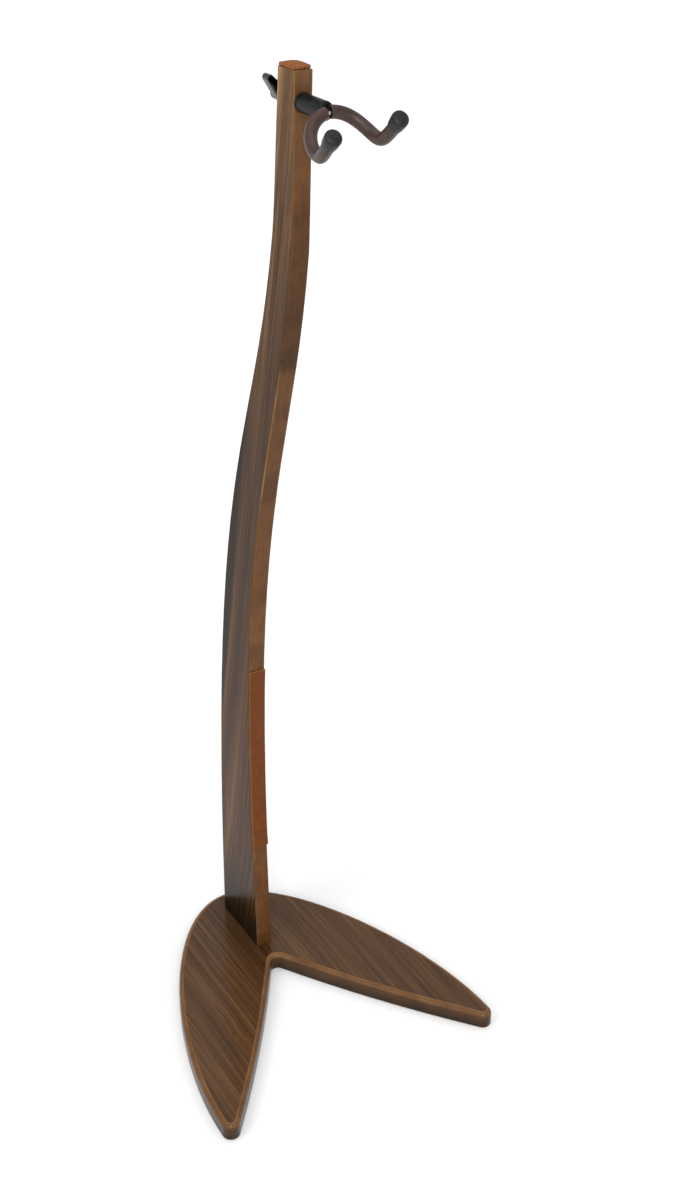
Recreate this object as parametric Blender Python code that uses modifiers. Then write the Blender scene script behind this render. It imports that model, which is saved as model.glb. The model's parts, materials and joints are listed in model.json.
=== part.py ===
"""Floor stand that hangs a guitar by its neck: V-shaped base, S-curved upright, swivelling padded yoke.

Metres, +Z up. The floor is Z = 0 and the origin is on it, under the middle of the base.
The stand's front, where the yoke and the guitar are, faces -Y. The stand is symmetric about X = 0,
apart from the yoke's and the wing knob's own turn about the barrel's axis.
"""

from math import atan2, cos, hypot, pi, radians, sin, tan

import bmesh
import bpy
from mathutils import Matrix, Vector
from mathutils.geometry import interpolate_bezier

# Overall sizes
WOOD_TOP = 1.070            # top of the upright's wood above the floor
BASE_WIDTH = 0.348
BASE_DEPTH = 0.346
BASE_THICK = 0.0204
BOARD_THICK = 0.0195        # the upright's thickness, across X

# Base outline
NOSE_REACH = 0.081          # how far the rear edge runs straight out before it turns forward
FLANK_REACH = 0.140         # the same for the outer edge, back from the leg's tip
TIP_RADIUS = 0.010
NOTCH_RADIUS = 0.008
NOTCH_DEPTH = 0.135         # rear edge to the deepest point of the notch
INNER_BOW = radians(4.0)    # how much each inner edge bows, at each end
BASE_TOP_ROUND = 0.0055
BASE_FOOT_ROUND = 0.0012

# Glides under the base
GLIDE_RADIUS = 0.009
GLIDE_THICK = 0.0020
GLIDE_PROUD = 0.0008
GLIDE_INSET = 0.024         # tip glides, back from the tip's centre
REAR_GLIDE_X = 0.048
REAR_GLIDE_INSET = 0.044    # rear glides, forward from the rear edge

# Upright profile, front to back along Y
FOOT_SETBACK = 0.067        # base's rear edge to the middle of the upright's foot
FOOT_DEPTH = 0.0865
WAIST_HEIGHT = 0.265
WAIST_TUCK = 0.0077         # how far the front edge draws back at the waist
TOP_DEPTH = 0.0287
TOP_OVERHANG = 0.1377       # how far the top leans forward of the foot
FRONT_SHOULDER_DROP = 0.163
FRONT_SHOULDER_BACK = 0.0075
REAR_SHOULDER_DROP = 0.153
REAR_SHOULDER_BACK = 0.0154
FRONT_SHOULDER_SLOPE = -0.147
REAR_SHOULDER_SLOPE = -0.195
EDGE_ROUND = 0.0018

# How the S is drawn: shares of each run's height, and how far its ends lean
WAIST_PULL = 0.57
FRONT_SHOULDER_PULL = 0.314
FOOT_PULL = 0.713
REAR_SHOULDER_PULL = 0.271
END_PULL = 0.3
FOOT_LEAN = 0.044
FRONT_TOP_LEAN = 0.040
REAR_TOP_LEAN = 0.090
FRONT_SHOULDER_LEAD = 0.010  # how far each shoulder keeps its slope above it
REAR_SHOULDER_LEAD = 0.024

# Leather
PAD_LOW = 0.166
PAD_HIGH = 0.410
PAD_THICK = 0.0022
TOP_LEATHER_THICK = 0.0032
TOP_LEATHER_INSET = 0.0001

# Fixings between base and upright
BOLT_SPACING = 0.048
BOLT_RADIUS = 0.003
BOLT_HEAD_LEDGE = 0.002     # head beyond the shank, all round
BOLT_HEAD_HEIGHT = 0.006
HEX_SOCKET_RADIUS = 0.0029
HEX_SOCKET_DEPTH = 0.0035
WASHER_LEDGE = 0.001        # washer beyond the bolt's head
WASHER_THICK = 0.0012
COUNTERBORE_CLEARANCE = 0.0015
HEAD_RECESS = 0.0014        # bolt's head above the plate's underside
INSERT_WALL = 0.0017
INSERT_LENGTH = 0.016
INSERT_HOLE_SPARE = 0.004   # hole beyond the insert's end
BOLT_ENGAGEMENT = 0.013     # how far a bolt reaches into its insert

# Swivel
AXIS_DROP = 0.0273          # barrel axis below the top of the wood
STUD_RADIUS = 0.003
STUD_CLEARANCE = 0.0006
FRONT_SEAT_DEPTH = 0.0006
REAR_SEAT_DEPTH = 0.0014
SEAT_CLEARANCE = 0.0006
BARREL_RADIUS = 0.0085
BARREL_NOSE_ROUND = 0.0022
BARREL_LENGTH = 0.0380
BARREL_ENGAGEMENT = 0.014   # how far the stud reaches into the barrel
BARREL_WEB_HALF = 0.0018    # half the web that holds the rod between the sleeves
FIBRE_WASHER_THICK = 0.0010
REAR_WASHER_RADIUS = 0.0070
REAR_WASHER_THICK = 0.0012

# Yoke
YOKE_TURN = radians(-7.0)
YOKE_HALF_WIDTH = 0.0321
YOKE_REACH = 0.0636
YOKE_DROP = 0.0269
ROD_RADIUS = 0.0032
ROD_PROUD = 0.0024          # rod centre beyond the barrel's end
SLEEVE_RADIUS = 0.0059
SLEEVE_CLEARANCE = 0.0004
CAP_LIP = 0.0007            # cap's open end beyond the sleeve
CAP_FLARE = 0.0011          # how much wider the cap is behind its dome
CAP_LENGTH = 0.0135
CAP_FLARE_LENGTH = 0.0065
CAP_DOME_TOP = 0.0022       # dome's top beyond the end of the arm's line
CAP_DOME_HEIGHT = 0.0053
CAP_WALL = 0.0030           # rubber in front of the rod's end
RIVET_RADIUS = 0.0012
RIVET_HEAD_RADIUS = 0.0016
RIVET_HEAD_HEIGHT = 0.0008
RIVET_REACH = 0.010         # rivet's end behind the rod's centre
RIVET_HOLE_SPARE = 0.002

# Wing knob
KNOB_TURN = radians(50.0)
KNOB_HUB_WALL = 0.0014
KNOB_HUB_LENGTH = 0.0170
KNOB_SHANK = 0.0040         # hub in front of the wings
WING_REACH = 0.0195
WING_TIP_RADIUS = 0.0033
WING_DEPTH = 0.0105
WING_WALL = 0.0013
WING_EDGE_ROUND = 0.0008
KNOB_INSERT_WALL = 0.0010
KNOB_INSERT_LENGTH = 0.0110
KNOB_BORE_DEPTH = 0.0135

GAP = 0.0003                # left between pieces that touch
CHAMFER = 0.0006            # on turned metal edges
OVERRUN = 0.010             # how far a cutter runs past the face it opens
ROUNDED = 0.8               # power that makes a dome fuller than a plain ellipse
MERGE = 0.00001
ROUND_STEPS = 32
SMALL_STEPS = 24
RIVET_STEPS = 16
TUBE_ROUNDNESS = 4          # a tube curve's bevel resolution: 12 sides
FACET = radians(30.0)

# Sizes that follow from the ones above
PLATE_TOP = GLIDE_PROUD + BASE_THICK
REAR_Y = BASE_DEPTH / 2
FOOT_CENTRE_Y = REAR_Y - FOOT_SETBACK
AXIS_Z = WOOD_TOP - AXIS_DROP
BOLT_HEAD_RADIUS = BOLT_RADIUS + BOLT_HEAD_LEDGE
WASHER_RADIUS = BOLT_HEAD_RADIUS + WASHER_LEDGE
COUNTERBORE_RADIUS = WASHER_RADIUS + COUNTERBORE_CLEARANCE
COUNTERBORE_TOP = GLIDE_PROUD + HEAD_RECESS + BOLT_HEAD_HEIGHT + WASHER_THICK + 2 * GAP
INSERT_RADIUS = BOLT_RADIUS + GAP + INSERT_WALL
STUD_BORE_RADIUS = STUD_RADIUS + STUD_CLEARANCE
CAP_BASE_RADIUS = SLEEVE_RADIUS + CAP_LIP
CAP_RADIUS = CAP_BASE_RADIUS + CAP_FLARE
KNOB_INSERT_RADIUS = STUD_RADIUS + GAP + KNOB_INSERT_WALL
KNOB_HUB_RADIUS = KNOB_INSERT_RADIUS + GAP + KNOB_HUB_WALL

for old in list(bpy.data.objects):
    bpy.data.objects.remove(old, do_unlink=True)


# ---------------------------------------------------------------- scene helpers

def new_collection(name):
    """Return a collection linked to the scene."""
    collection = bpy.data.collections.new(name)
    bpy.context.scene.collection.children.link(collection)
    return collection


PARTS = new_collection("guitar_floor_stand")
CUTTERS = new_collection("cutters")


def adopt(obj, name, collection, parent=None):
    """Name an object, put it in one collection and hang it on its parent."""
    obj.name = name
    obj.data.name = name
    for holder in list(obj.users_collection):
        holder.objects.unlink(obj)
    collection.objects.link(obj)
    if parent:
        obj.parent = parent
    return obj


def from_bmesh(bm, name, collection, parent=None):
    """Turn a bmesh into an object."""
    mesh = bpy.data.meshes.new(name)
    bm.to_mesh(mesh)
    bm.free()
    return adopt(bpy.data.objects.new(name, mesh), name, collection, parent)


def pivot(name, location, turn):
    """Add an empty on a joint's axis, turned about Y."""
    empty = bpy.data.objects.new(name, None)
    empty.location = location
    empty.rotation_euler = (0.0, turn, 0.0)
    PARTS.objects.link(empty)
    return empty


def new_material(name, colour, roughness, metallic=0.0):
    """Return a Principled material."""
    material = bpy.data.materials.new(name)
    material.use_nodes = True
    shader = material.node_tree.nodes["Principled BSDF"]
    shader.inputs["Base Color"].default_value = (*colour, 1.0)
    shader.inputs["Roughness"].default_value = roughness
    shader.inputs["Metallic"].default_value = metallic
    material.diffuse_color = (*colour, 1.0)
    return material


def finish(obj, material, smooth=True):
    """Give a part its material and its shading."""
    obj.data.materials.append(material)
    if smooth:
        obj.data.shade_smooth()
        obj.data.set_sharp_from_angle(angle=FACET)
    return obj


def cut(obj, cutter, operation="DIFFERENCE"):
    """Cut a part with a cutter, or join the two; the cutter stays in the scene as a wire."""
    cutter.hide_render = True
    cutter.display_type = "WIRE"
    step = obj.modifiers.new("by_" + cutter.name, "BOOLEAN")
    step.operation = operation
    step.solver = "EXACT"
    step.object = cutter


# ---------------------------------------------------------------- shape helpers

def cylinder(name, radius, ends, centre, along, collection=CUTTERS, parent=None, steps=ROUND_STEPS):
    """Add a cylinder between two positions along an axis, through the centre point."""
    low, high = sorted(ends)
    location = list(centre)
    location["XYZ".index(along)] = (low + high) / 2
    turns = {"X": (0.0, pi / 2, 0.0), "Y": (pi / 2, 0.0, 0.0), "Z": (0.0, 0.0, 0.0)}
    bpy.ops.mesh.primitive_cylinder_add(
        vertices=steps, radius=radius, depth=high - low, location=location, rotation=turns[along])
    return adopt(bpy.context.object, name, collection, parent)


def turned(name, profile, location, turn=(0.0, 0.0, 0.0), closed=False, steps=ROUND_STEPS, parent=None):
    """Spin a profile of (radius, height) points, which runs down its outer side, about Z."""
    mesh = bpy.data.meshes.new(name)
    points = [(radius, 0.0, height) for radius, height in profile]
    edges = [(i, i + 1) for i in range(len(points) - 1)]
    if closed:
        edges.append((len(points) - 1, 0))
    mesh.from_pydata(points, edges, [])
    obj = adopt(bpy.data.objects.new(name, mesh), name, PARTS, parent)
    obj.location = location
    obj.rotation_euler = turn
    screw = obj.modifiers.new("turn", "SCREW")
    screw.steps = steps
    screw.render_steps = steps
    screw.use_merge_vertices = True
    screw.merge_threshold = MERGE
    return obj


def ring_profile(outer, inner, low, high):
    """Return the closed profile of a plain ring."""
    return [(outer, high), (outer, low), (inner, low), (inner, high)]


def slab(name, outline, low, high, matrix, collection=PARTS, parent=None):
    """Fill a closed outline as a flat 2D curve and extrude it between two heights."""
    curve = bpy.data.curves.new(name, "CURVE")
    curve.dimensions = "2D"
    curve.fill_mode = "BOTH"
    curve.extrude = (high - low) / 2
    spline = curve.splines.new("POLY")
    spline.points.add(len(outline) - 1)
    for point, (x, y) in zip(spline.points, outline):
        point.co = (x, y, 0.0, 1.0)
    spline.use_cyclic_u = True
    lift = Matrix.Translation((0.0, 0.0, (low + high) / 2))
    return meshed(curve, name, matrix @ lift, collection, parent)


def meshed(curve, name, matrix, collection, parent=None, caps=True):
    """Turn curve data into a mesh object with its matrix applied and its caps welded."""
    guide = bpy.data.objects.new(name + "_guide", curve)
    CUTTERS.objects.link(guide)
    bpy.context.view_layer.update()
    mesh = bpy.data.meshes.new_from_object(guide.evaluated_get(bpy.context.evaluated_depsgraph_get()))
    bpy.data.objects.remove(guide, do_unlink=True)
    bpy.data.curves.remove(curve)
    bm = bmesh.new()
    bm.from_mesh(mesh)
    bpy.data.meshes.remove(mesh)
    bmesh.ops.remove_doubles(bm, verts=bm.verts, dist=MERGE)
    bmesh.ops.transform(bm, matrix=matrix, verts=bm.verts)
    if caps:
        bmesh.ops.recalc_face_normals(bm, faces=bm.faces)
    return from_bmesh(bm, name, collection, parent)


def round_edges(obj, wanted, radius, segments):
    """Round the edges whose two ends satisfy a test, given their positions."""
    bm = bmesh.new()
    bm.from_mesh(obj.data)
    sharp = [edge for edge in bm.edges
             if edge.calc_face_angle(0.0) > FACET and wanted(edge.verts[0].co, edge.verts[1].co)]
    bmesh.ops.bevel(bm, geom=sharp, offset=radius, offset_type="OFFSET", affect="EDGES",
                    segments=segments, profile=0.5, material=-1, clamp_overlap=False)
    bm.to_mesh(obj.data)
    bm.free()


def flat(point):
    """Return a 2D point as the 3D vector that the Bezier tool takes."""
    return Vector((point[0], point[1], 0.0))


def bezier_run(start, start_handle, end_handle, end, steps):
    """Return the points of one smooth run, without its last point."""
    knots = [flat(point) for point in (start, start_handle, end_handle, end)]
    return [(p.x, p.y) for p in interpolate_bezier(*knots, steps + 1)[:-1]]


def arc_run(centre, radius, start, end, steps):
    """Return the points of one arc between two angles, without its last point."""
    angles = [start + (end - start) * i / steps for i in range(steps)]
    return [(centre[0] + radius * cos(a), centre[1] + radius * sin(a)) for a in angles]


def dome_run(radius, height, rim, steps):
    """Return a full dome's turned profile, from its middle down to its rim."""
    angles = [pi / 2 * i / steps for i in range(steps + 1)]
    return [(radius * abs(sin(a)) ** ROUNDED, rim + height * abs(cos(a)) ** ROUNDED) for a in angles]


# ---------------------------------------------------------------- materials

VENEER = new_material("walnut_veneered_plywood", (0.098, 0.055, 0.034), 0.38)
WALNUT = new_material("walnut_board", (0.155, 0.085, 0.046), 0.42)
SUEDE = new_material("suede_leather", (0.205, 0.062, 0.020), 0.90)
TOP_SUEDE = new_material("suede_leather_top", (0.400, 0.125, 0.040), 0.90)
SLEEVE_RUBBER = new_material("brown_foam_rubber", (0.072, 0.046, 0.044), 0.60)
CAP_RUBBER = new_material("black_cap_rubber", (0.030, 0.030, 0.036), 0.62)
BLACK_STEEL = new_material("black_powder_coated_steel", (0.022, 0.026, 0.025), 0.45, 0.4)
ZINC_STEEL = new_material("zinc_plated_steel", (0.560, 0.570, 0.560), 0.35, 1.0)
BRASS = new_material("brass", (0.720, 0.470, 0.150), 0.35, 1.0)
KNOB_PLASTIC = new_material("black_nylon", (0.020, 0.021, 0.022), 0.35)
FIBRE = new_material("black_fibre", (0.025, 0.024, 0.022), 0.85)
GLIDE_RUBBER = new_material("grey_glide_rubber", (0.090, 0.090, 0.088), 0.80)


# ---------------------------------------------------------------- base

TIP_CENTRE = (BASE_WIDTH / 2 - TIP_RADIUS, -BASE_DEPTH / 2 + TIP_RADIUS)
NOTCH_CENTRE = (0.0, REAR_Y - NOTCH_DEPTH - NOTCH_RADIUS)


def inner_edge_angles():
    """Return the direction of the right leg's inner edge at the notch and at the tip."""
    across = TIP_CENTRE[0] - NOTCH_CENTRE[0]
    along = TIP_CENTRE[1] - NOTCH_CENTRE[1]
    lean = atan2(NOTCH_RADIUS + TIP_RADIUS, hypot(across, along))
    straight = atan2(along, across) - lean
    return straight - INNER_BOW, straight + INNER_BOW


def base_half_outline():
    """Return the right half of the base, from the rear edge round the tip to the notch's middle."""
    notch_way, tip_way = inner_edge_angles()
    tip_turn = tip_way - pi / 2
    notch_turn = notch_way + pi / 2
    tip_point = (TIP_CENTRE[0] + TIP_RADIUS * cos(tip_turn), TIP_CENTRE[1] + TIP_RADIUS * sin(tip_turn))
    notch_point = (NOTCH_RADIUS * cos(notch_turn), NOTCH_CENTRE[1] + NOTCH_RADIUS * sin(notch_turn))
    pull = hypot(tip_point[0] - notch_point[0], tip_point[1] - notch_point[1]) / 3
    flank = (BASE_WIDTH / 2, TIP_CENTRE[1])
    points = bezier_run((0.0, REAR_Y), (NOSE_REACH, REAR_Y),
                        (flank[0], flank[1] + FLANK_REACH), flank, 24)
    points += arc_run(TIP_CENTRE, TIP_RADIUS, 0.0, tip_turn, 8)
    points += bezier_run(tip_point,
                         (tip_point[0] - pull * cos(tip_way), tip_point[1] - pull * sin(tip_way)),
                         (notch_point[0] + pull * cos(notch_way), notch_point[1] + pull * sin(notch_way)),
                         notch_point, 8)
    points += arc_run(NOTCH_CENTRE, NOTCH_RADIUS, notch_turn, pi / 2, 4)
    return points + [(0.0, NOTCH_CENTRE[1] + NOTCH_RADIUS)]


def glide_places():
    """Return each glide's name and its centre on the base."""
    _, tip_way = inner_edge_angles()
    back = pi / 2 + (tip_way + pi / 2) / 2
    tip_x = TIP_CENTRE[0] + GLIDE_INSET * cos(back)
    tip_y = TIP_CENTRE[1] + GLIDE_INSET * sin(back)
    rear_y = REAR_Y - REAR_GLIDE_INSET
    places = []
    for side, word in ((-1, "left"), (1, "right")):
        places.append(("glide_front_" + word, side * tip_x, tip_y))
        places.append(("glide_rear_" + word, side * REAR_GLIDE_X, rear_y))
    return places


def bolt_places():
    """Return each bolt's name and its place along Y."""
    return (("front", FOOT_CENTRE_Y - BOLT_SPACING / 2), ("rear", FOOT_CENTRE_Y + BOLT_SPACING / 2))


def make_base():
    """Make the V-shaped plate with its bolt holes and glide recesses."""
    half = base_half_outline()
    outline = half + [(-x, y) for x, y in reversed(half[1:-1])]
    plate = slab("base_plate", outline, GLIDE_PROUD, PLATE_TOP, Matrix.Identity(4))
    round_edges(plate, lambda a, b: min(a.z, b.z) > PLATE_TOP - MERGE, BASE_TOP_ROUND, 4)
    round_edges(plate, lambda a, b: max(a.z, b.z) < GLIDE_PROUD + MERGE, BASE_FOOT_ROUND, 2)
    for word, y in bolt_places():
        cut(plate, cylinder("plate_bore_" + word, BOLT_RADIUS + GAP, (0.0, PLATE_TOP + OVERRUN),
                            (0.0, y, 0.0), "Z", steps=SMALL_STEPS))
        cut(plate, cylinder("plate_counterbore_" + word, COUNTERBORE_RADIUS, (-OVERRUN, COUNTERBORE_TOP),
                            (0.0, y, 0.0), "Z"))
    for name, x, y in glide_places():
        cut(plate, cylinder(name + "_recess", GLIDE_RADIUS + GAP, (-OVERRUN, GLIDE_THICK + GAP),
                            (x, y, 0.0), "Z", steps=SMALL_STEPS))
        glide = cylinder(name, GLIDE_RADIUS, (0.0, GLIDE_THICK), (x, y, 0.0), "Z", PARTS, steps=SMALL_STEPS)
        finish(glide, GLIDE_RUBBER)
    finish(plate, VENEER)


# ---------------------------------------------------------------- upright

FOOT_Z = PLATE_TOP + GAP
FOOT_FRONT = FOOT_CENTRE_Y - FOOT_DEPTH / 2
FOOT_REAR = FOOT_CENTRE_Y + FOOT_DEPTH / 2
TOP_FRONT = FOOT_CENTRE_Y - TOP_OVERHANG - TOP_DEPTH / 2
TOP_REAR = TOP_FRONT + TOP_DEPTH


def front_edge():
    """Return the front edge from the foot to the top, without the top corner."""
    waist = (FOOT_FRONT + WAIST_TUCK, WAIST_HEIGHT)
    shoulder = (TOP_FRONT + FRONT_SHOULDER_BACK, WOOD_TOP - FRONT_SHOULDER_DROP)
    low = (waist[1] - FOOT_Z) * END_PULL
    rise = shoulder[1] - waist[1]
    inward = rise * FRONT_SHOULDER_PULL
    lead = FRONT_SHOULDER_LEAD
    cap = FRONT_SHOULDER_DROP * END_PULL
    points = bezier_run((FOOT_FRONT, FOOT_Z), (FOOT_FRONT + low * FOOT_LEAN, FOOT_Z + low),
                        (waist[0], waist[1] - low), waist, 6)
    points += bezier_run(waist, (waist[0], waist[1] + rise * WAIST_PULL),
                         (shoulder[0] - inward * FRONT_SHOULDER_SLOPE, shoulder[1] - inward), shoulder, 18)
    return points + bezier_run(shoulder, (shoulder[0] + lead * FRONT_SHOULDER_SLOPE, shoulder[1] + lead),
                               (TOP_FRONT + cap * FRONT_TOP_LEAN, WOOD_TOP - cap), (TOP_FRONT, WOOD_TOP), 6)


def rear_edge():
    """Return the rear edge from the foot to the top, without the top corner."""
    shoulder = (TOP_REAR + REAR_SHOULDER_BACK, WOOD_TOP - REAR_SHOULDER_DROP)
    rise = shoulder[1] - FOOT_Z
    inward = rise * REAR_SHOULDER_PULL
    lead = REAR_SHOULDER_LEAD
    cap = REAR_SHOULDER_DROP * END_PULL
    points = bezier_run((FOOT_REAR, FOOT_Z), (FOOT_REAR, FOOT_Z + rise * FOOT_PULL),
                        (shoulder[0] - inward * REAR_SHOULDER_SLOPE, shoulder[1] - inward), shoulder, 22)
    return points + bezier_run(shoulder, (shoulder[0] + lead * REAR_SHOULDER_SLOPE, shoulder[1] + lead),
                               (TOP_REAR + cap * REAR_TOP_LEAN, WOOD_TOP - cap), (TOP_REAR, WOOD_TOP), 6)


FRONT_EDGE = front_edge() + [(TOP_FRONT, WOOD_TOP)]
REAR_EDGE = rear_edge() + [(TOP_REAR, WOOD_TOP)]
SIDE_ON = Matrix(((0.0, 0.0, 1.0, 0.0), (1.0, 0.0, 0.0, 0.0), (0.0, 1.0, 0.0, 0.0), (0.0, 0.0, 0.0, 1.0)))


def edge_at(edge, height):
    """Return where an edge of the upright stands at a height."""
    for (y_low, z_low), (y_high, z_high) in zip(edge, edge[1:]):
        if z_low <= height <= z_high:
            return y_low + (y_high - y_low) * (height - z_low) / (z_high - z_low)
    return edge[-1][0]


FRONT_SEAT = edge_at(FRONT_EDGE, AXIS_Z) + FRONT_SEAT_DEPTH
REAR_SEAT = edge_at(REAR_EDGE, AXIS_Z) - REAR_SEAT_DEPTH


def make_upright():
    """Make the S-curved board with its washer seats, stud bore and insert holes."""
    outline = FRONT_EDGE + list(reversed(REAR_EDGE))
    board = slab("upright", outline, -BOARD_THICK / 2, BOARD_THICK / 2, SIDE_ON)
    round_edges(board, lambda a, b: max(a.z, b.z) > FOOT_Z + MERGE and a.x * b.x > 0, EDGE_ROUND, 3)
    axis = (0.0, 0.0, AXIS_Z)
    before = FRONT_SEAT - OVERRUN
    behind = REAR_SEAT + OVERRUN
    hole_top = FOOT_Z + INSERT_LENGTH + INSERT_HOLE_SPARE
    cut(board, cylinder("stud_bore", STUD_BORE_RADIUS, (before, behind), axis, "Y", steps=SMALL_STEPS))
    cut(board, cylinder("front_seat", BARREL_RADIUS + SEAT_CLEARANCE, (before, FRONT_SEAT), axis, "Y"))
    cut(board, cylinder("rear_seat", REAR_WASHER_RADIUS + SEAT_CLEARANCE, (REAR_SEAT, behind), axis, "Y"))
    for word, y in bolt_places():
        cut(board, cylinder("insert_hole_" + word, INSERT_RADIUS + GAP, (FOOT_Z - OVERRUN, hole_top),
                            (0.0, y, 0.0), "Z", steps=SMALL_STEPS))
    finish(board, WALNUT)


# ---------------------------------------------------------------- leather

def pad_outline():
    """Return the strip that lies on the front edge, between the pad's two ends."""
    run = [(edge_at(FRONT_EDGE, PAD_LOW), PAD_LOW)]
    run += [point for point in FRONT_EDGE if PAD_LOW < point[1] < PAD_HIGH]
    run.append((edge_at(FRONT_EDGE, PAD_HIGH), PAD_HIGH))
    back = [(y - GAP, z) for y, z in run]
    return back + [(y - PAD_THICK, z) for y, z in reversed(back)]


def make_leather():
    """Make the pad that the guitar's body rests on, and the piece on the board's end."""
    pad = slab("body_rest_pad", pad_outline(), -BOARD_THICK / 2, BOARD_THICK / 2, SIDE_ON)
    finish(pad, SUEDE)
    half_x = BOARD_THICK / 2 - TOP_LEATHER_INSET
    front = TOP_FRONT + TOP_LEATHER_INSET
    rear = TOP_REAR - TOP_LEATHER_INSET
    outline = [(-half_x, front), (half_x, front), (half_x, rear), (-half_x, rear)]
    low = WOOD_TOP + GAP
    top = slab("top_leather", outline, low, low + TOP_LEATHER_THICK, Matrix.Identity(4))
    round_edges(top, lambda a, b: abs(a.z - b.z) > TOP_LEATHER_THICK / 2, EDGE_ROUND, 3)
    finish(top, TOP_SUEDE)


# ---------------------------------------------------------------- base fixings

def make_fixings():
    """Make the bolts, washers and threaded inserts that hold the upright on the base."""
    washer_low = COUNTERBORE_TOP - GAP - WASHER_THICK
    head_top = washer_low - GAP
    head_low = head_top - BOLT_HEAD_HEIGHT
    insert_low = FOOT_Z + GAP
    shank_top = insert_low + BOLT_ENGAGEMENT
    for word, y in bolt_places():
        ring = ring_profile(WASHER_RADIUS, BOLT_RADIUS + GAP, washer_low, washer_low + WASHER_THICK)
        washer = turned("bolt_washer_" + word, ring, (0.0, y, 0.0), closed=True, steps=SMALL_STEPS)
        finish(washer, ZINC_STEEL)
        sleeve = ring_profile(INSERT_RADIUS, BOLT_RADIUS + GAP, insert_low, insert_low + INSERT_LENGTH)
        insert = turned("threaded_insert_" + word, sleeve, (0.0, y, 0.0), closed=True, steps=SMALL_STEPS)
        finish(insert, BRASS)
        profile = [(0.0, shank_top), (BOLT_RADIUS - CHAMFER, shank_top), (BOLT_RADIUS, shank_top - CHAMFER),
                   (BOLT_RADIUS, head_top), (BOLT_HEAD_RADIUS, head_top),
                   (BOLT_HEAD_RADIUS, head_low + CHAMFER), (BOLT_HEAD_RADIUS - CHAMFER, head_low),
                   (0.0, head_low)]
        bolt = turned("base_bolt_" + word, profile, (0.0, y, 0.0), steps=SMALL_STEPS)
        cut(bolt, cylinder("hex_socket_" + word, HEX_SOCKET_RADIUS,
                           (head_low - OVERRUN, head_low + HEX_SOCKET_DEPTH), (0.0, y, 0.0), "Z", steps=6))
        finish(bolt, ZINC_STEEL)


# ---------------------------------------------------------------- swivel

FIBRE_FRONT = FRONT_SEAT - GAP - FIBRE_WASHER_THICK
BARREL_REAR = FIBRE_FRONT - GAP
BARREL_FRONT = BARREL_REAR - BARREL_LENGTH
ROD_Y = BARREL_FRONT - ROD_PROUD
REAR_WASHER_FRONT = REAR_SEAT + GAP
KNOB_FRONT = REAR_WASHER_FRONT + REAR_WASHER_THICK + GAP
TO_FRONT = (pi / 2, 0.0, 0.0)   # turns a profile's +Z towards the stand's front, -Y

def arm_controls():
    """Return the control points of the right arm, from the rod's middle to its tip."""
    shares = ((0.00, 0.0, 0.00), (0.45, 0.0, 0.05), (0.915, 0.18, 0.63),
              (0.90, 0.515, 1.00), (0.985, 0.67, 0.69), (1.00, 1.00, 0.00))
    return [Vector((x * YOKE_HALF_WIDTH, ROD_Y - y * YOKE_REACH, -z * YOKE_DROP)) for x, y, z in shares]


def spline_path(controls, steps):
    """Return points along a clamped uniform cubic B-spline."""
    last = len(controls) - 3
    knots = [0.0] * 3 + [float(i) for i in range(last + 1)] + [float(last)] * 3

    def blend(i, degree, t):
        if degree == 0:
            return 1.0 if knots[i] <= t < knots[i + 1] else 0.0
        left = knots[i + degree] - knots[i]
        right = knots[i + degree + 1] - knots[i + 1]
        value = (t - knots[i]) / left * blend(i, degree - 1, t) if left else 0.0
        return value + ((knots[i + degree + 1] - t) / right * blend(i + 1, degree - 1, t) if right else 0.0)

    path = []
    for step in range(steps):
        t = last * step / steps
        path.append(sum((control * blend(i, 3, t) for i, control in enumerate(controls)), Vector()))
    return path + [controls[-1].copy()]


def trimmed(path, start, end):
    """Return a path cut to the stretch between two distances along it."""
    kept = []
    travelled = 0.0
    for a, b in zip(path, path[1:]):
        length = (b - a).length
        if travelled <= start < travelled + length:
            kept.append(a.lerp(b, (start - travelled) / length))
        elif start < travelled < end:
            kept.append(a)
        if travelled < end <= travelled + length:
            kept.append(a.lerp(b, (end - travelled) / length))
        travelled += length
    return kept


def path_length(path):
    """Return a path's length."""
    return sum((b - a).length for a, b in zip(path, path[1:]))


def tube_curve(name, path, radius, caps):
    """Return round tube curve data along a path."""
    curve = bpy.data.curves.new(name, "CURVE")
    curve.dimensions = "3D"
    curve.bevel_depth = radius
    curve.bevel_resolution = TUBE_ROUNDNESS
    curve.use_fill_caps = caps
    spline = curve.splines.new("POLY")
    spline.points.add(len(path) - 1)
    for point, place in zip(spline.points, path):
        point.co = (*place, 1.0)
    return curve


ARM = spline_path(arm_controls(), 26)
ARM_LENGTH = path_length(ARM)
TIP_WAY = (ARM[-1] - ARM[-3]).normalized()


def mirrored(path):
    """Return a path mirrored to the left side."""
    return [Vector((-p.x, p.y, p.z)) for p in path]


def make_washers():
    """Make the fibre washer under the barrel and the steel washer under the knob."""
    ring = ring_profile(BARREL_RADIUS, STUD_BORE_RADIUS, -FRONT_SEAT + GAP, -FIBRE_FRONT)
    fibre = turned("fibre_washer", ring, (0.0, 0.0, AXIS_Z), TO_FRONT, closed=True)
    finish(fibre, FIBRE)
    ring = ring_profile(REAR_WASHER_RADIUS, STUD_BORE_RADIUS,
                        -REAR_WASHER_FRONT - REAR_WASHER_THICK, -REAR_WASHER_FRONT)
    rear = turned("rear_washer", ring, (0.0, 0.0, AXIS_Z), TO_FRONT, closed=True)
    finish(rear, ZINC_STEEL)


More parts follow.
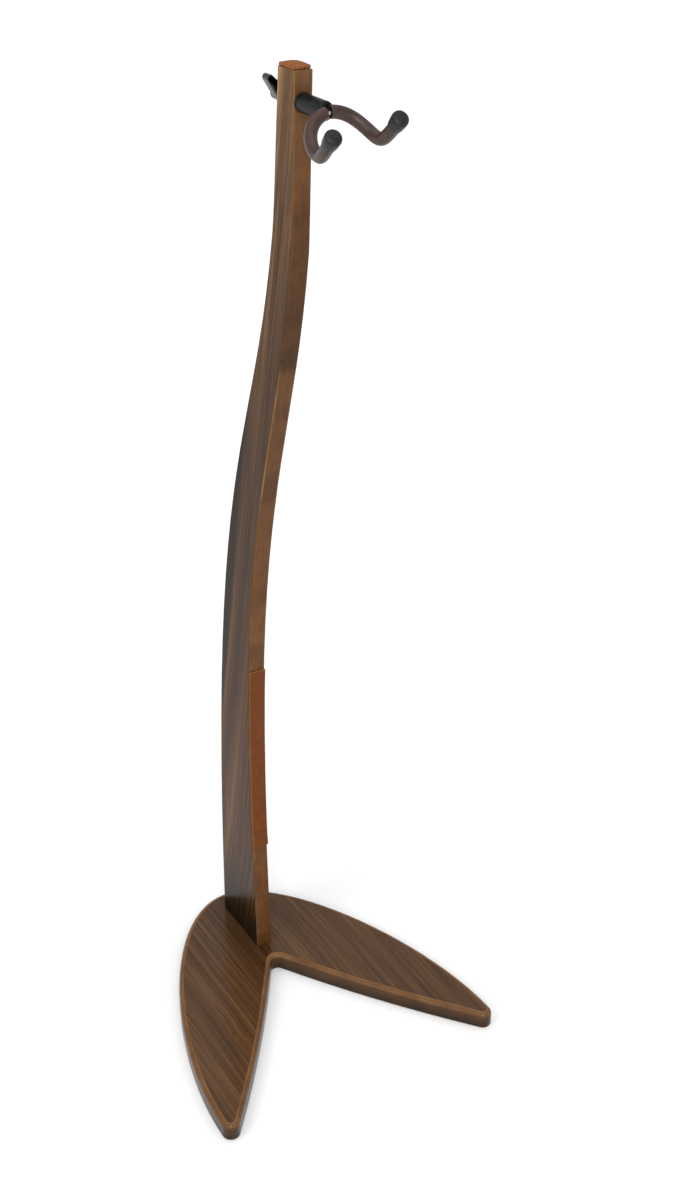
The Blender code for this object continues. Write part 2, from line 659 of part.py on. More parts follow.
def make_barrel(swivel):
    """Make the barrel, saddled for the sleeves, with a web that holds the rod."""
    bore = STUD_RADIUS + GAP
    bottom = -BARREL_REAR + BARREL_ENGAGEMENT + GAP
    nose_centre = (BARREL_RADIUS - BARREL_NOSE_ROUND, -BARREL_FRONT - BARREL_NOSE_ROUND)
    profile = [(0.0, -BARREL_FRONT)]
    profile += arc_run(nose_centre, BARREL_NOSE_ROUND, pi / 2, 0.0, 4)
    profile += [(BARREL_RADIUS, nose_centre[1]), (BARREL_RADIUS, -BARREL_REAR + CHAMFER),
                (BARREL_RADIUS - CHAMFER, -BARREL_REAR), (bore, -BARREL_REAR), (bore, bottom), (0.0, bottom)]
    barrel = turned("barrel", profile, (0.0, 0.0, 0.0), TO_FRONT, parent=swivel)
    saddle_run = 3 * BARREL_RADIUS
    for word, path in (("left", mirrored(ARM)), ("right", ARM)):
        room = tube_curve("saddle_" + word, trimmed(path, BARREL_WEB_HALF, saddle_run),
                          SLEEVE_RADIUS + SLEEVE_CLEARANCE, True)
        cut(barrel, meshed(room, "saddle_" + word, Matrix.Identity(4), CUTTERS, swivel))
    cut(barrel, cylinder("rod_saddle", ROD_RADIUS + GAP, (-BARREL_RADIUS, BARREL_RADIUS), (0.0, ROD_Y, 0.0),
                         "X", parent=swivel, steps=SMALL_STEPS))
    cut(barrel, cylinder("rivet_hole", RIVET_RADIUS + GAP, (ROD_Y, ROD_Y + RIVET_REACH + RIVET_HOLE_SPARE),
                         (0.0, 0.0, 0.0), "Y", parent=swivel, steps=RIVET_STEPS))
    finish(barrel, BLACK_STEEL)


def make_stud(swivel):
    """Make the threaded stud from the barrel through the board into the knob."""
    front = -BARREL_REAR + BARREL_ENGAGEMENT
    rear = -KNOB_FRONT - KNOB_BORE_DEPTH + 2 * GAP
    profile = [(0.0, front), (STUD_RADIUS - CHAMFER, front), (STUD_RADIUS, front - CHAMFER),
               (STUD_RADIUS, rear + CHAMFER), (STUD_RADIUS - CHAMFER, rear), (0.0, rear)]
    finish(turned("stud", profile, (0.0, 0.0, 0.0), TO_FRONT, steps=SMALL_STEPS, parent=swivel), ZINC_STEEL)


# ---------------------------------------------------------------- yoke

def make_rod(swivel):
    """Make the bent steel rod that carries both arms."""
    end = ARM_LENGTH - CAP_WALL
    right = trimmed(ARM, GAP, end)
    path = list(reversed(mirrored(right))) + right
    curve = tube_curve("yoke_rod", path, ROD_RADIUS, True)
    rod = meshed(curve, "yoke_rod", Matrix.Identity(4), PARTS, swivel)
    cut(rod, cylinder("rod_rivet_hole", RIVET_RADIUS + GAP, (ROD_Y - OVERRUN, ROD_Y + OVERRUN),
                      (0.0, 0.0, 0.0), "Y", parent=swivel, steps=RIVET_STEPS))
    finish(rod, BLACK_STEEL)


def make_rivet(swivel):
    """Make the rivet that pins the rod's middle to the barrel's web."""
    face = -ROD_Y + ROD_RADIUS + GAP
    rear = -ROD_Y - RIVET_REACH
    profile = dome_run(RIVET_HEAD_RADIUS, RIVET_HEAD_HEIGHT, face, 3)
    profile += [(RIVET_RADIUS, face), (RIVET_RADIUS, rear), (0.0, rear)]
    rivet = turned("rod_rivet", profile, (0.0, 0.0, 0.0), TO_FRONT, steps=RIVET_STEPS, parent=swivel)
    finish(rivet, ZINC_STEEL)


def make_sleeve(word, path, swivel):
    """Make one rubber sleeve, an open tube with its wall grown inwards."""
    span = trimmed(path, BARREL_WEB_HALF + GAP, ARM_LENGTH - CAP_LENGTH - GAP)
    name = "sleeve_" + word
    sleeve = meshed(tube_curve(name, span, SLEEVE_RADIUS, False), name, Matrix.Identity(4), PARTS, swivel,
                    caps=False)
    wall = sleeve.modifiers.new("wall", "SOLIDIFY")
    wall.thickness = SLEEVE_RADIUS - ROD_RADIUS - GAP
    wall.offset = -1.0
    finish(sleeve, SLEEVE_RUBBER)


def make_cap(word, side, swivel):
    """Make one end cap, pushed over the rod's end, with a dome in front."""
    bore = ROD_RADIUS + GAP
    floor = -CAP_WALL + GAP
    profile = dome_run(CAP_RADIUS, CAP_DOME_HEIGHT, CAP_DOME_TOP - CAP_DOME_HEIGHT, 6)
    profile += [(CAP_RADIUS, -CAP_LENGTH + CAP_FLARE_LENGTH), (CAP_BASE_RADIUS, -CAP_LENGTH + CHAMFER),
                (CAP_BASE_RADIUS - CHAMFER, -CAP_LENGTH), (bore, -CAP_LENGTH), (bore, floor), (0.0, floor)]
    tip = Vector((side * ARM[-1].x, ARM[-1].y, ARM[-1].z))
    way = Vector((side * TIP_WAY.x, TIP_WAY.y, TIP_WAY.z))
    turn = way.to_track_quat("Z", "Y").to_euler()
    finish(turned("cap_" + word, profile, tip, turn, steps=SMALL_STEPS, parent=swivel), CAP_RUBBER)


def make_yoke():
    """Make everything that swivels on the stud's axis."""
    swivel = pivot("yoke_swivel_axis", (0.0, 0.0, AXIS_Z), YOKE_TURN)
    make_barrel(swivel)
    make_stud(swivel)
    make_rod(swivel)
    make_rivet(swivel)
    for side, word, path in ((-1, "left", mirrored(ARM)), (1, "right", ARM)):
        make_sleeve(word, path, swivel)
        make_cap(word, side, swivel)


# ---------------------------------------------------------------- wing knob

WING_LEAN = atan2(KNOB_HUB_RADIUS - WING_TIP_RADIUS, WING_REACH)


def wing_outline():
    """Return both wings and the hub as one outline, rounded at the tips."""
    lean = WING_LEAN
    hub = KNOB_HUB_RADIUS
    half = arc_run((WING_REACH, 0.0), WING_TIP_RADIUS, -pi / 2 + lean, pi / 2 - lean, 8)
    half.append((WING_REACH + WING_TIP_RADIUS * sin(lean), WING_TIP_RADIUS * cos(lean)))
    half += arc_run((0.0, 0.0), hub, pi / 2 - lean, pi / 2 + lean, 4)
    half.append((-hub * sin(lean), hub * cos(lean)))
    return half + [(-x, -y) for x, y in half]


def pocket_outline(side):
    """Return the hollow of one wing, a wall's width inside it and clear of the hub."""
    lean = WING_LEAN
    root = KNOB_HUB_RADIUS + WING_WALL
    radius = WING_TIP_RADIUS - WING_WALL
    root_half = radius + (WING_REACH - root) * tan(lean)
    points = arc_run((WING_REACH, 0.0), radius, -pi / 2 + lean, pi / 2 - lean, 8)
    points += [(WING_REACH + radius * sin(lean), radius * cos(lean)), (root, root_half), (root, -root_half)]
    return [(side * x, side * y) for x, y in points]


def make_knob():
    """Make the moulded wing knob and the brass insert pressed into its hub."""
    axis = pivot("wing_knob_axis", (0.0, KNOB_FRONT, AXIS_Z), KNOB_TURN)
    seen_from_front = Matrix.Rotation(pi / 2, 4, "X")
    wing_front = -KNOB_SHANK
    wing_rear = wing_front - WING_DEPTH
    knob = slab("wing_knob", wing_outline(), wing_rear, wing_front, seen_from_front, parent=axis)
    round_edges(knob, lambda a, b: abs(a.y - b.y) < MERGE, WING_EDGE_ROUND, 2)
    cut(knob, cylinder("knob_hub", KNOB_HUB_RADIUS + GAP, (0.0, KNOB_HUB_LENGTH), (0.0, 0.0, 0.0), "Y",
                       parent=axis), "UNION")
    for side, word in ((-1, "a"), (1, "b")):
        cut(knob, slab("wing_pocket_" + word, pocket_outline(side), wing_rear + WING_WALL, OVERRUN,
                       seen_from_front, CUTTERS, axis))
    cut(knob, cylinder("knob_bore", KNOB_INSERT_RADIUS + GAP, (-OVERRUN, KNOB_INSERT_LENGTH + 2 * GAP),
                       (0.0, 0.0, 0.0), "Y", parent=axis, steps=SMALL_STEPS))
    cut(knob, cylinder("knob_stud_room", STUD_BORE_RADIUS, (-OVERRUN, KNOB_BORE_DEPTH),
                       (0.0, 0.0, 0.0), "Y", parent=axis, steps=SMALL_STEPS))
    finish(knob, KNOB_PLASTIC)
    insert = turned("knob_insert", ring_profile(KNOB_INSERT_RADIUS, STUD_RADIUS + GAP,
                    -KNOB_INSERT_LENGTH - GAP, -GAP), (0.0, 0.0, 0.0), TO_FRONT, closed=True,
                    steps=SMALL_STEPS, parent=axis)
    finish(insert, BRASS)


make_base()
make_upright()
make_leather()
make_fixings()
make_washers()
make_yoke()
make_knob()
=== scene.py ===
"""Looks of a wooden guitar floor stand: walnut, suede, rubber and black steel in a pale studio."""

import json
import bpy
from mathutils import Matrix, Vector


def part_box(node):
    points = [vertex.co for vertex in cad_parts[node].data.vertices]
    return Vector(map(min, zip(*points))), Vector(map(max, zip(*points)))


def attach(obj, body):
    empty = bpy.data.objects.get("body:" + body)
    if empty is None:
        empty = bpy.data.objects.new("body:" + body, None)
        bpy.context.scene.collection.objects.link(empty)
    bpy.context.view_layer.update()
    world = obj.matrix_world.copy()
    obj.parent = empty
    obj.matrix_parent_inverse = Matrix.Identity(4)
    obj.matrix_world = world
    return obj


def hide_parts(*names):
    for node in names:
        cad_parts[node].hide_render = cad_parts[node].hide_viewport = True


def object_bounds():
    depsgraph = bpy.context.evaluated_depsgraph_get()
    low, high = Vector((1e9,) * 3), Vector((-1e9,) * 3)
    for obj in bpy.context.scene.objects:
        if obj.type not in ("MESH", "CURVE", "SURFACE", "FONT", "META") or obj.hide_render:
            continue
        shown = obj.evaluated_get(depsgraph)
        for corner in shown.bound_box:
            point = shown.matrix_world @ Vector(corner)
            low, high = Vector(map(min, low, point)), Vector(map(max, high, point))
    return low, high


bl_info = {
    "name": "Guitar Floor Stand Looks",
    "version": (1, 0, 0),
    "blender": (4, 5, 0),
    "location": "View3D > Sidebar > Stand",
    "description": "Builds the finished pieces, materials and studio of a wooden guitar floor stand",
    "category": "Object",
}

from math import cos, exp, pi, radians, sin

import bmesh
import bpy
from bpy.props import FloatProperty, FloatVectorProperty, PointerProperty
from mathutils import Matrix, Vector, noise

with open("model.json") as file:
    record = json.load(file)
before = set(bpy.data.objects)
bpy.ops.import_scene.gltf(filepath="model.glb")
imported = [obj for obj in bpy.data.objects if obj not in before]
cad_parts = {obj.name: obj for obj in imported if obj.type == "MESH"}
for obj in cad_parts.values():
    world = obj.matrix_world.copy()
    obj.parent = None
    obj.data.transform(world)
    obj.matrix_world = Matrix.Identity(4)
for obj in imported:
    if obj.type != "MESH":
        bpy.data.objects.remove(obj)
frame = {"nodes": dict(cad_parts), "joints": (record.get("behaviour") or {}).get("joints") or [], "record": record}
CAD_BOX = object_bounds()

MM = 0.001
ACROSS = (1.0, 0.0, 0.0)
UP = (0.0, 0.0, 1.0)
WELD = 0.02 * MM            # loose triangles' corners closer than this are one
FLAT = radians(0.4)         # triangles closer than this to one plane are one face
SHARP = radians(35.0)       # edges sharper than this keep a hard line
FACE_ON = 0.99              # a face with a normal this close to an axis is one of the slab's flat faces

PLATE_LOW, PLATE_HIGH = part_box("base_plate")
BOARD_LOW, BOARD_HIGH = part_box("upright")
PAD_LOW, PAD_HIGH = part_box("body_rest_pad")
END_LEATHER_LOW, END_LEATHER_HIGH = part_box("top_leather")
BARREL_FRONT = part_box("barrel")[0].y
AXIS_HEIGHT = next(joint["pos_m"][2] for joint in frame["joints"] if joint["name"] == "yoke_swivel")


def linear(hex_colour):
    """Turn an sRGB hex colour into linear red, green, blue and alpha."""
    channels = [int(hex_colour[i:i + 2], 16) / 255 for i in (1, 3, 5)]
    return (*[c / 12.92 if c <= 0.04045 else ((c + 0.055) / 1.055) ** 2.4 for c in channels], 1.0)


def colour(name, description, hex_colour):
    """Return a colour property."""
    return FloatVectorProperty(name=name, description=description, subtype="COLOR", size=4,
                               min=0.0, max=1.0, default=linear(hex_colour))


def length(name, description, millimetres):
    """Return a length property, given its default in millimetres."""
    return FloatProperty(name=name, description=description, unit="LENGTH", default=millimetres * MM)


def angle(name, description, degrees):
    """Return an angle property, given its default in degrees."""
    return FloatProperty(name=name, description=description, unit="ROTATION", subtype="ANGLE",
                         default=radians(degrees))


def number(name, description, value, low, high):
    """Return a plain number property with its limits."""
    return FloatProperty(name=name, description=description, default=value, min=low, max=high)


# ---------------------------------------------------------------- settings

class StandWoodSettings(bpy.types.PropertyGroup):
    """Walnut and its lacquer."""

    veneer_dark: colour("Veneer dark", "Dark streaks of the walnut veneer", "#452b14")
    veneer_mid: colour("Veneer middle", "Most of the walnut veneer", "#5a3b20")
    veneer_light: colour("Veneer light", "Light streaks of the walnut veneer", "#725130")
    edge_dark: colour("Edge dark", "Dark clouds of the stained edge timber", "#4c2c12")
    edge_light: colour("Edge light", "Light clouds of the stained edge timber", "#6e4823")
    # the worn line is sanded wood, and on the upright's arris near its top also a painted highlight
    worn_and_highlit_line: colour("Worn line", "Sanded arris where the veneer stops", "#80603a")
    streak_width: length("Streak width", "Spacing of the veneer's streaks across the grain", 3.4)
    streak_length: length("Streak length", "Length of a streak along the grain", 260.0)
    line_width: length("Line width", "Width of a growth line, drawn wider than real so that it shows", 1.3)
    pore_width: length("Pore width", "Width of a pore, drawn wider than real so that it shows", 0.8)
    pore_length: length("Pore length", "Length of a pore along the grain", 14.0)
    lacquer_roughness: number("Lacquer roughness", "Satin of the lacquer", 0.22, 0.0, 1.0)
    base_gloss: number("Base gloss", "IOR of the base's full lacquer", 1.45, 1.0, 2.0)
    board_gloss: number("Board gloss", "IOR of the upright's thin, rubbed-down lacquer", 1.15, 1.0, 2.0)
    edge_gloss: number("Edge gloss", "IOR of the lacquer on the edges", 1.28, 1.0, 2.0)
    grain_tilt: angle("Grain tilt", "How far the upright's grain leans forward", 11.5)


class StandLeatherSettings(bpy.types.PropertyGroup):
    """Suede pad and suede end piece."""

    pad: colour("Pad", "Rust suede of the body pad", "#6e3c19")
    pad_dark: colour("Pad dark", "Nap of the pad that lies away", "#552b10")
    top: colour("Top", "Lighter suede on the upright's end", "#925b2f")
    top_dark: colour("Top dark", "Nap of the end piece that lies away", "#6e3a1a")
    cut_edge: colour("Cut edge", "Raw cut edge of the hide", "#8f5f3a")
    nap: length("Nap size", "Size of the nap's tufts, drawn coarse so that they show", 1.5)
    slant: length("End slant", "How much lower the pad's left corner is cut than its right", 5.0)
    lift: length("End lift", "How far the pad's lower end stands off the wood", 1.0)
    thickness: length("Thickness", "Hide thickness of the pad", 2.0)
    top_thickness: length("Top thickness", "Thickness of the end piece", 2.5)
    top_crown: length("Top crown", "How much higher the end piece's middle is than its corners", 0.75)


class StandYokeSettings(bpy.types.PropertyGroup):
    """Yoke: rod, sleeves, caps and barrel."""

    half_width: length("Half width", "Middle of the yoke to an arm's end", 32.1)
    reach: length("Reach", "How far an arm reaches to the front", 63.6)
    drop: length("Drop", "Depth of an arm's bend", 26.9)
    rod_proud: length("Rod proud", "Rod's centre beyond the barrel's end", 2.4)
    turn: angle("Turn", "Resting turn of the yoke about the barrel", -7.0)
    sleeve_radius: length("Sleeve radius", "Outer radius of a rubber sleeve", 5.9)
    sleeve_wall: length("Sleeve wall", "Wall of a rubber sleeve", 2.3)
    sleeve_start: length("Sleeve start", "Yoke's middle to a sleeve's inner end", 2.1)
    cap_length: length("Cap length", "Length of a cap behind the arm's end", 13.5)
    cap_radius: length("Cap radius", "Radius of a cap behind its dome", 7.7)
    cap_base_radius: length("Cap base radius", "Radius of a cap's open end", 6.6)
    crease_depth: length("Crease depth", "Pinch in the sleeve inside its tight bend", 1.3)
    crease_width: length("Crease width", "Half length of that pinch", 1.8)
    sleeve: colour("Sleeve", "Brown foam rubber", "#412f29")
    sleeve_dark: colour("Sleeve dark", "Handled patches of the sleeves", "#32241f")
    cap: colour("Cap", "Black moulded rubber", "#151519")
    steel: colour("Steel", "Black powder coat", "#0f1111")


class StandKnobSettings(bpy.types.PropertyGroup):
    """Wing knob and the small metal parts."""

    nylon: colour("Nylon", "Glossy black moulded nylon", "#0a0a0b")
    zinc: colour("Zinc", "Bright zinc plate", "#c3c6c4")
    brass: colour("Brass", "Turned brass", "#c89b4f")
    fibre: colour("Fibre", "Pressed black fibre", "#1b1917")
    glide: colour("Glide", "Grey glide rubber", "#54534f")


class StandStageSettings(bpy.types.PropertyGroup):
    """Camera, floor and lights."""

    floor: colour("Floor", "Matt white floor", "#f4f4f4")
    camera_place: FloatVectorProperty(name="Camera place", description="Where the camera stands",
                                      subtype="TRANSLATION", unit="LENGTH",
                                      default=(-0.70948, -1.29020, 1.36174))
    azimuth: angle("Azimuth", "Camera's turn about the vertical", -30.926)
    tilt: angle("Tilt", "Camera's turn up from straight down", 60.551)
    roll: angle("Roll", "Camera's turn about its own line of sight", 0.253)
    lens: FloatProperty(name="Lens", description="Focal length on a 36 mm sensor", unit="CAMERA",
                        default=49.131)
    ceiling: number("Ceiling", "Brightness of the lit ceiling", 1.35, 0.0, 10.0)
    gap: number("Gap", "Brightness between the wall and the ceiling", 0.5, 0.0, 10.0)
    wall: number("Wall", "Brightness of the walls near the floor", 1.0, 0.0, 10.0)
    key: number("Key", "Strength of the front light", 1.5, 0.0, 10.0)
    key_spread: angle("Key spread", "How wide the front light looks from the stand", 25.0)


GROUPS = {
    "stand_wood": StandWoodSettings,
    "stand_leather": StandLeatherSettings,
    "stand_yoke": StandYokeSettings,
    "stand_knob": StandKnobSettings,
    "stand_stage": StandStageSettings,
}


# ---------------------------------------------------------------- helpers

def node(tree, kind, inputs=None, stops=None, **settings):
    """Add a node, set its properties and colour stops, and set or link its inputs."""
    made = tree.nodes.new(kind)
    for name, value in settings.items():
        setattr(made, name, value)
    if stops:
        while len(made.color_ramp.elements) < len(stops):
            made.color_ramp.elements.new(1.0)
        for element, (place, shade) in zip(made.color_ramp.elements, stops):
            element.position = place
            element.color = shade if isinstance(shade, (tuple, list)) else (shade, shade, shade, 1.0)
    for name, value in (inputs or {}).items():
        if isinstance(value, bpy.types.NodeSocket):
            tree.links.new(value, made.inputs[name])
        else:
            made.inputs[name].default_value = value
    return made


def lit(shade, gain, lift=0.0):
    """Return a colour made lighter or darker."""
    return (*[min(1.0, channel * gain + lift) for channel in shade[:3]], 1.0)


def new_material(name):
    """Return a node material, its tree and the Object coordinates that its patterns read."""
    material = bpy.data.materials.new(name)
    material.use_nodes = True
    tree = material.node_tree
    tree.nodes.clear()
    return material, tree, node(tree, "ShaderNodeTexCoord").outputs["Object"]


def merged_copy(name):
    """Start a bmesh from a CAD node's mesh, its loose triangles joined into whole faces."""
    bm = bmesh.new()
    bm.from_mesh(frame["nodes"][name].data)
    bmesh.ops.remove_doubles(bm, verts=bm.verts, dist=WELD)
    bmesh.ops.dissolve_limit(bm, angle_limit=FLAT, verts=bm.verts, edges=bm.edges)
    return bm


def spun(profile, steps):
    """Return a bmesh turned about Z from a profile of (radius, height) points."""
    bm = bmesh.new()
    verts = [bm.verts.new((radius, 0.0, height)) for radius, height in profile]
    edges = [bm.edges.new(pair) for pair in zip(verts, verts[1:])]
    bmesh.ops.spin(bm, geom=verts + edges, cent=(0.0, 0.0, 0.0), axis=UP, angle=2 * pi, steps=steps,
                   use_merge=True)
    bmesh.ops.remove_doubles(bm, verts=bm.verts, dist=WELD)
    bmesh.ops.recalc_face_normals(bm, faces=bm.faces)
    return bm


def add_piece(bm, name, body, materials, stands_for):
    """Turn a bmesh into a finished piece that rides on a body and stands for CAD nodes."""
    mesh = bpy.data.meshes.new(name)
    bm.to_mesh(mesh)
    bm.free()
    for material in materials:
        mesh.materials.append(material)
    mesh.shade_smooth()
    mesh.set_sharp_from_angle(angle=SHARP)
    piece = bpy.data.objects.new(name, mesh)
    bpy.context.scene.collection.objects.link(piece)
    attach(piece, body)
    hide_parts(*stands_for)
    return piece


def keep_flats(piece):
    """Make the flat faces shade flat beside their rounded edges."""
    flats = piece.modifiers.new("flats", "WEIGHTED_NORMAL")
    flats.keep_sharp = True


def thicken(piece, thickness, rim, edge, segments, degrees):
    """Give a sheet its thickness behind its face, a rim with its own material slot, and soft edges."""
    wall = piece.modifiers.new("wall", "SOLIDIFY")
    wall.thickness = thickness
    wall.offset = -1.0
    wall.material_offset_rim = rim
    soften = piece.modifiers.new("soften", "BEVEL")
    soften.width = edge
    soften.segments = segments
    soften.limit_method = "ANGLE"
    soften.angle_limit = radians(degrees)


def dress(name, material):
    """Give a CAD node that stays its finished material."""
    frame["nodes"][name].material_slots[0].material = material


# ---------------------------------------------------------------- wood

ALONG_Y, ALONG_Z = 1, 2     # the axis that the grain runs along
BAND_WEIGHT, STREAK_WEIGHT, LINE_WEIGHT = 0.30, 0.36, 0.34      # shares of the veneer's tone
WAVE_SIZE = (60 * MM,) * 3  # unit of the grain's slow waves, which are about three times as long
WAVE_DEPTH = (7 * MM,) * 3  # how far at most they push it aside
KNOT_REACH = 26 * MM        # how far from its middle a knot bends the grain
KNOT_PULL = 2.2 * MM        # how far it bends it
SIDE_FACE = 0.9             # a normal with more X than this is on the upright's flat side
ARRIS_FACE = 0.2            # and with more than this, on its rounded arris


def from_knot(tree, place, knot, near, far, most):
    """Return a value that falls smoothly from most to nothing between two distances from a knot."""
    away = node(tree, "ShaderNodeVectorMath", {0: place, 1: knot}, operation="DISTANCE").outputs["Value"]
    fade = node(tree, "ShaderNodeMapRange", {"Value": away, "From Min": near, "From Max": far,
                                             "To Min": most, "To Max": 0.0},
                interpolation_type="SMOOTHSTEP")
    return fade.outputs[0]


def grain_space(tree, place, centre, turn, size, knot=None):
    """Return coordinates counted in grain sizes, wavy by a few millimetres and pulled by a knot."""
    if knot:
        pull = from_knot(tree, place, knot, 0.0, KNOT_REACH, KNOT_PULL)
        pull = node(tree, "ShaderNodeCombineXYZ", {"X": pull})
        place = node(tree, "ShaderNodeVectorMath", {0: place, 1: pull.outputs[0]},
                     operation="ADD").outputs[0]
    slow = node(tree, "ShaderNodeMapping", {"Vector": place, "Rotation": turn, "Scale": WAVE_SIZE},
                vector_type="TEXTURE")
    wave = node(tree, "ShaderNodeTexNoise", {"Vector": slow.outputs[0], "Scale": 0.35, "Detail": 1.0})
    bent = node(tree, "ShaderNodeVectorMath", {0: wave.outputs["Color"], 1: WAVE_DEPTH, 2: place},
                operation="MULTIPLY_ADD")
    return node(tree, "ShaderNodeMapping", {"Vector": bent.outputs[0], "Location": centre,
                                            "Rotation": turn, "Scale": size},
                vector_type="TEXTURE").outputs[0]


def stained(tree, place, shades, way, stops):
    """Multiply a colour along one direction by stops of (place in metres, brightness or tint): stain, and for some
    callers painted shade and highlight.
    """
    along = node(tree, "ShaderNodeVectorMath", {0: place, 1: way},
                 operation="DOT_PRODUCT").outputs["Value"]
    low, high = stops[0][0], stops[-1][0]
    level = node(tree, "ShaderNodeMapRange", {"Value": along, "From Min": low, "From Max": high})
    stain_and_painted_light = node(tree, "ShaderNodeValToRGB", {"Fac": level.outputs[0]},
                 stops=[((spot - low) / (high - low), shade) for spot, shade in stops])
    return node(tree, "ShaderNodeMix", {0: 1.0, 6: shades, 7: stain_and_painted_light.outputs[0]}, data_type="RGBA",
                blend_type="MULTIPLY").outputs[2]


def walnut_veneer(name, centre, turn, along, gloss, gains, stains_and_shade=(), knot=None):
    """Sliced walnut veneer, satin lacquered: soft bands, fine growth lines, dark pores, an even sheen."""
    wood = bpy.context.scene.stand_wood
    material, tree, place = new_material(name)

    def grain(width, run, detail):
        size = [width, width, width]
        size[along] = run
        space = grain_space(tree, place, centre, turn, size, knot)
        pattern = node(tree, "ShaderNodeTexNoise", {"Vector": space, "Scale": 1.0, "Detail": detail})
        return pattern.outputs["Fac"]

    band = grain(6 * wood.streak_width, 2 * wood.streak_length, 1.0)
    streak = grain(wood.streak_width, wood.streak_length, 2.0)
    line = grain(wood.line_width, wood.streak_length, 1.0)
    pore = grain(wood.pore_width, wood.pore_length, 0.0)
    tone = node(tree, "ShaderNodeMath", {0: band, 1: BAND_WEIGHT}, operation="MULTIPLY").outputs[0]
    for part, weight in ((streak, STREAK_WEIGHT), (line, LINE_WEIGHT)):
        tone = node(tree, "ShaderNodeMath", {0: part, 1: weight, 2: tone},
                    operation="MULTIPLY_ADD").outputs[0]
    woods = (wood.veneer_dark, wood.veneer_mid, wood.veneer_light)
    dark, mid, light = [lit(shade, gain) for shade, gain in zip(woods, gains)]
    shades = node(tree, "ShaderNodeValToRGB", {"Fac": tone},
                  stops=((0.36, dark), (0.50, mid), (0.66, light))).outputs[0]
    for way, stops in stains_and_shade:
        shades = stained(tree, place, shades, way, stops)
    if knot:
        core = from_knot(tree, place, knot, 0.8 * MM, 3.2 * MM, 0.85)       # dark, with a soft rim
        shades = node(tree, "ShaderNodeMix", {0: core, 6: shades, 7: dark}, data_type="RGBA").outputs[2]
    pits = node(tree, "ShaderNodeMapRange", {"Value": pore, "From Min": 0.62, "From Max": 0.74,
                                             "To Max": 0.4})
    pored = node(tree, "ShaderNodeMix", {0: pits.outputs[0], 6: shades, 7: dark}, data_type="RGBA")
    satin = node(tree, "ShaderNodeMapRange", {"Value": streak, "From Min": 0.3, "From Max": 0.7,
                                              "To Min": wood.lacquer_roughness - 0.04,
                                              "To Max": wood.lacquer_roughness + 0.05})
    relief = node(tree, "ShaderNodeBump", {"Height": pits.outputs[0], "Strength": 0.25,
                                           "Distance": 0.06 * MM}, invert=True)
    shader = node(tree, "ShaderNodeBsdfPrincipled", {"Base Color": pored.outputs[2], "IOR": gloss,
                                                     "Roughness": satin.outputs[0],
                                                     "Normal": relief.outputs[0]})
    node(tree, "ShaderNodeOutputMaterial", {"Surface": shader.outputs[0]})
    return material


def edge_timber(name, flecks, stops, worn=None):
    """Stained, lacquered edge timber: orange brown clouds, faint flecks, its tone changing with height, in places
    by painted shade and highlight.
    """
    wood = bpy.context.scene.stand_wood
    material, tree, place = new_material(name)
    fleck_space = node(tree, "ShaderNodeMapping", {"Vector": place, "Scale": flecks},
                       vector_type="TEXTURE")
    fleck = node(tree, "ShaderNodeTexNoise", {"Vector": fleck_space.outputs[0], "Scale": 1.0,
                                              "Detail": 2.0})
    cloud = node(tree, "ShaderNodeTexNoise", {"Vector": place, "Scale": 1 / (26 * MM), "Detail": 2.0})
    tone = node(tree, "ShaderNodeMath", {0: fleck.outputs["Fac"], 1: 0.35}, operation="MULTIPLY")
    tone = node(tree, "ShaderNodeMath", {0: cloud.outputs["Fac"], 1: 0.65, 2: tone.outputs[0]},
                operation="MULTIPLY_ADD")
    shades = node(tree, "ShaderNodeValToRGB", {"Fac": tone.outputs[0]},
                  stops=((0.25, tuple(wood.edge_dark)), (0.75, tuple(wood.edge_light)))).outputs[0]
    shades = stained(tree, place, shades, UP, stops)
    # a pale arris where the worn stops say: sanded wood, and on the upright near its top a painted highlight
    if worn:
        rub_and_highlight = node(tree, "ShaderNodeTexNoise", {"Vector": place, "Scale": 1 / (60 * MM), "Detail": 2.0})
        rub_and_highlight = node(tree, "ShaderNodeMapRange", {"Value": rub_and_highlight.outputs["Fac"], "From Min": 0.40,
                                                "From Max": 0.60, "To Min": 0.5})
        where = stained(tree, place, (1.0, 1.0, 1.0, 1.0), UP, worn)
        rub_and_highlight = node(tree, "ShaderNodeMath", {0: rub_and_highlight.outputs[0], 1: where}, operation="MULTIPLY")
        shades = node(tree, "ShaderNodeMix", {0: rub_and_highlight.outputs[0], 6: shades, 7: tuple(wood.worn_and_highlit_line)},
                      data_type="RGBA").outputs[2]
    relief = node(tree, "ShaderNodeBump", {"Height": fleck.outputs["Fac"], "Strength": 0.06,
                                           "Distance": 0.05 * MM})
    satin = node(tree, "ShaderNodeMapRange", {"Value": fleck.outputs["Fac"],
                                              "To Min": wood.lacquer_roughness,
                                              "To Max": wood.lacquer_roughness + 0.10})
    shader = node(tree, "ShaderNodeBsdfPrincipled", {"Base Color": shades, "IOR": wood.edge_gloss,
                                                     "Roughness": satin.outputs[0],
                                                     "Normal": relief.outputs[0]})
    node(tree, "ShaderNodeOutputMaterial", {"Surface": shader.outputs[0]})
    return material


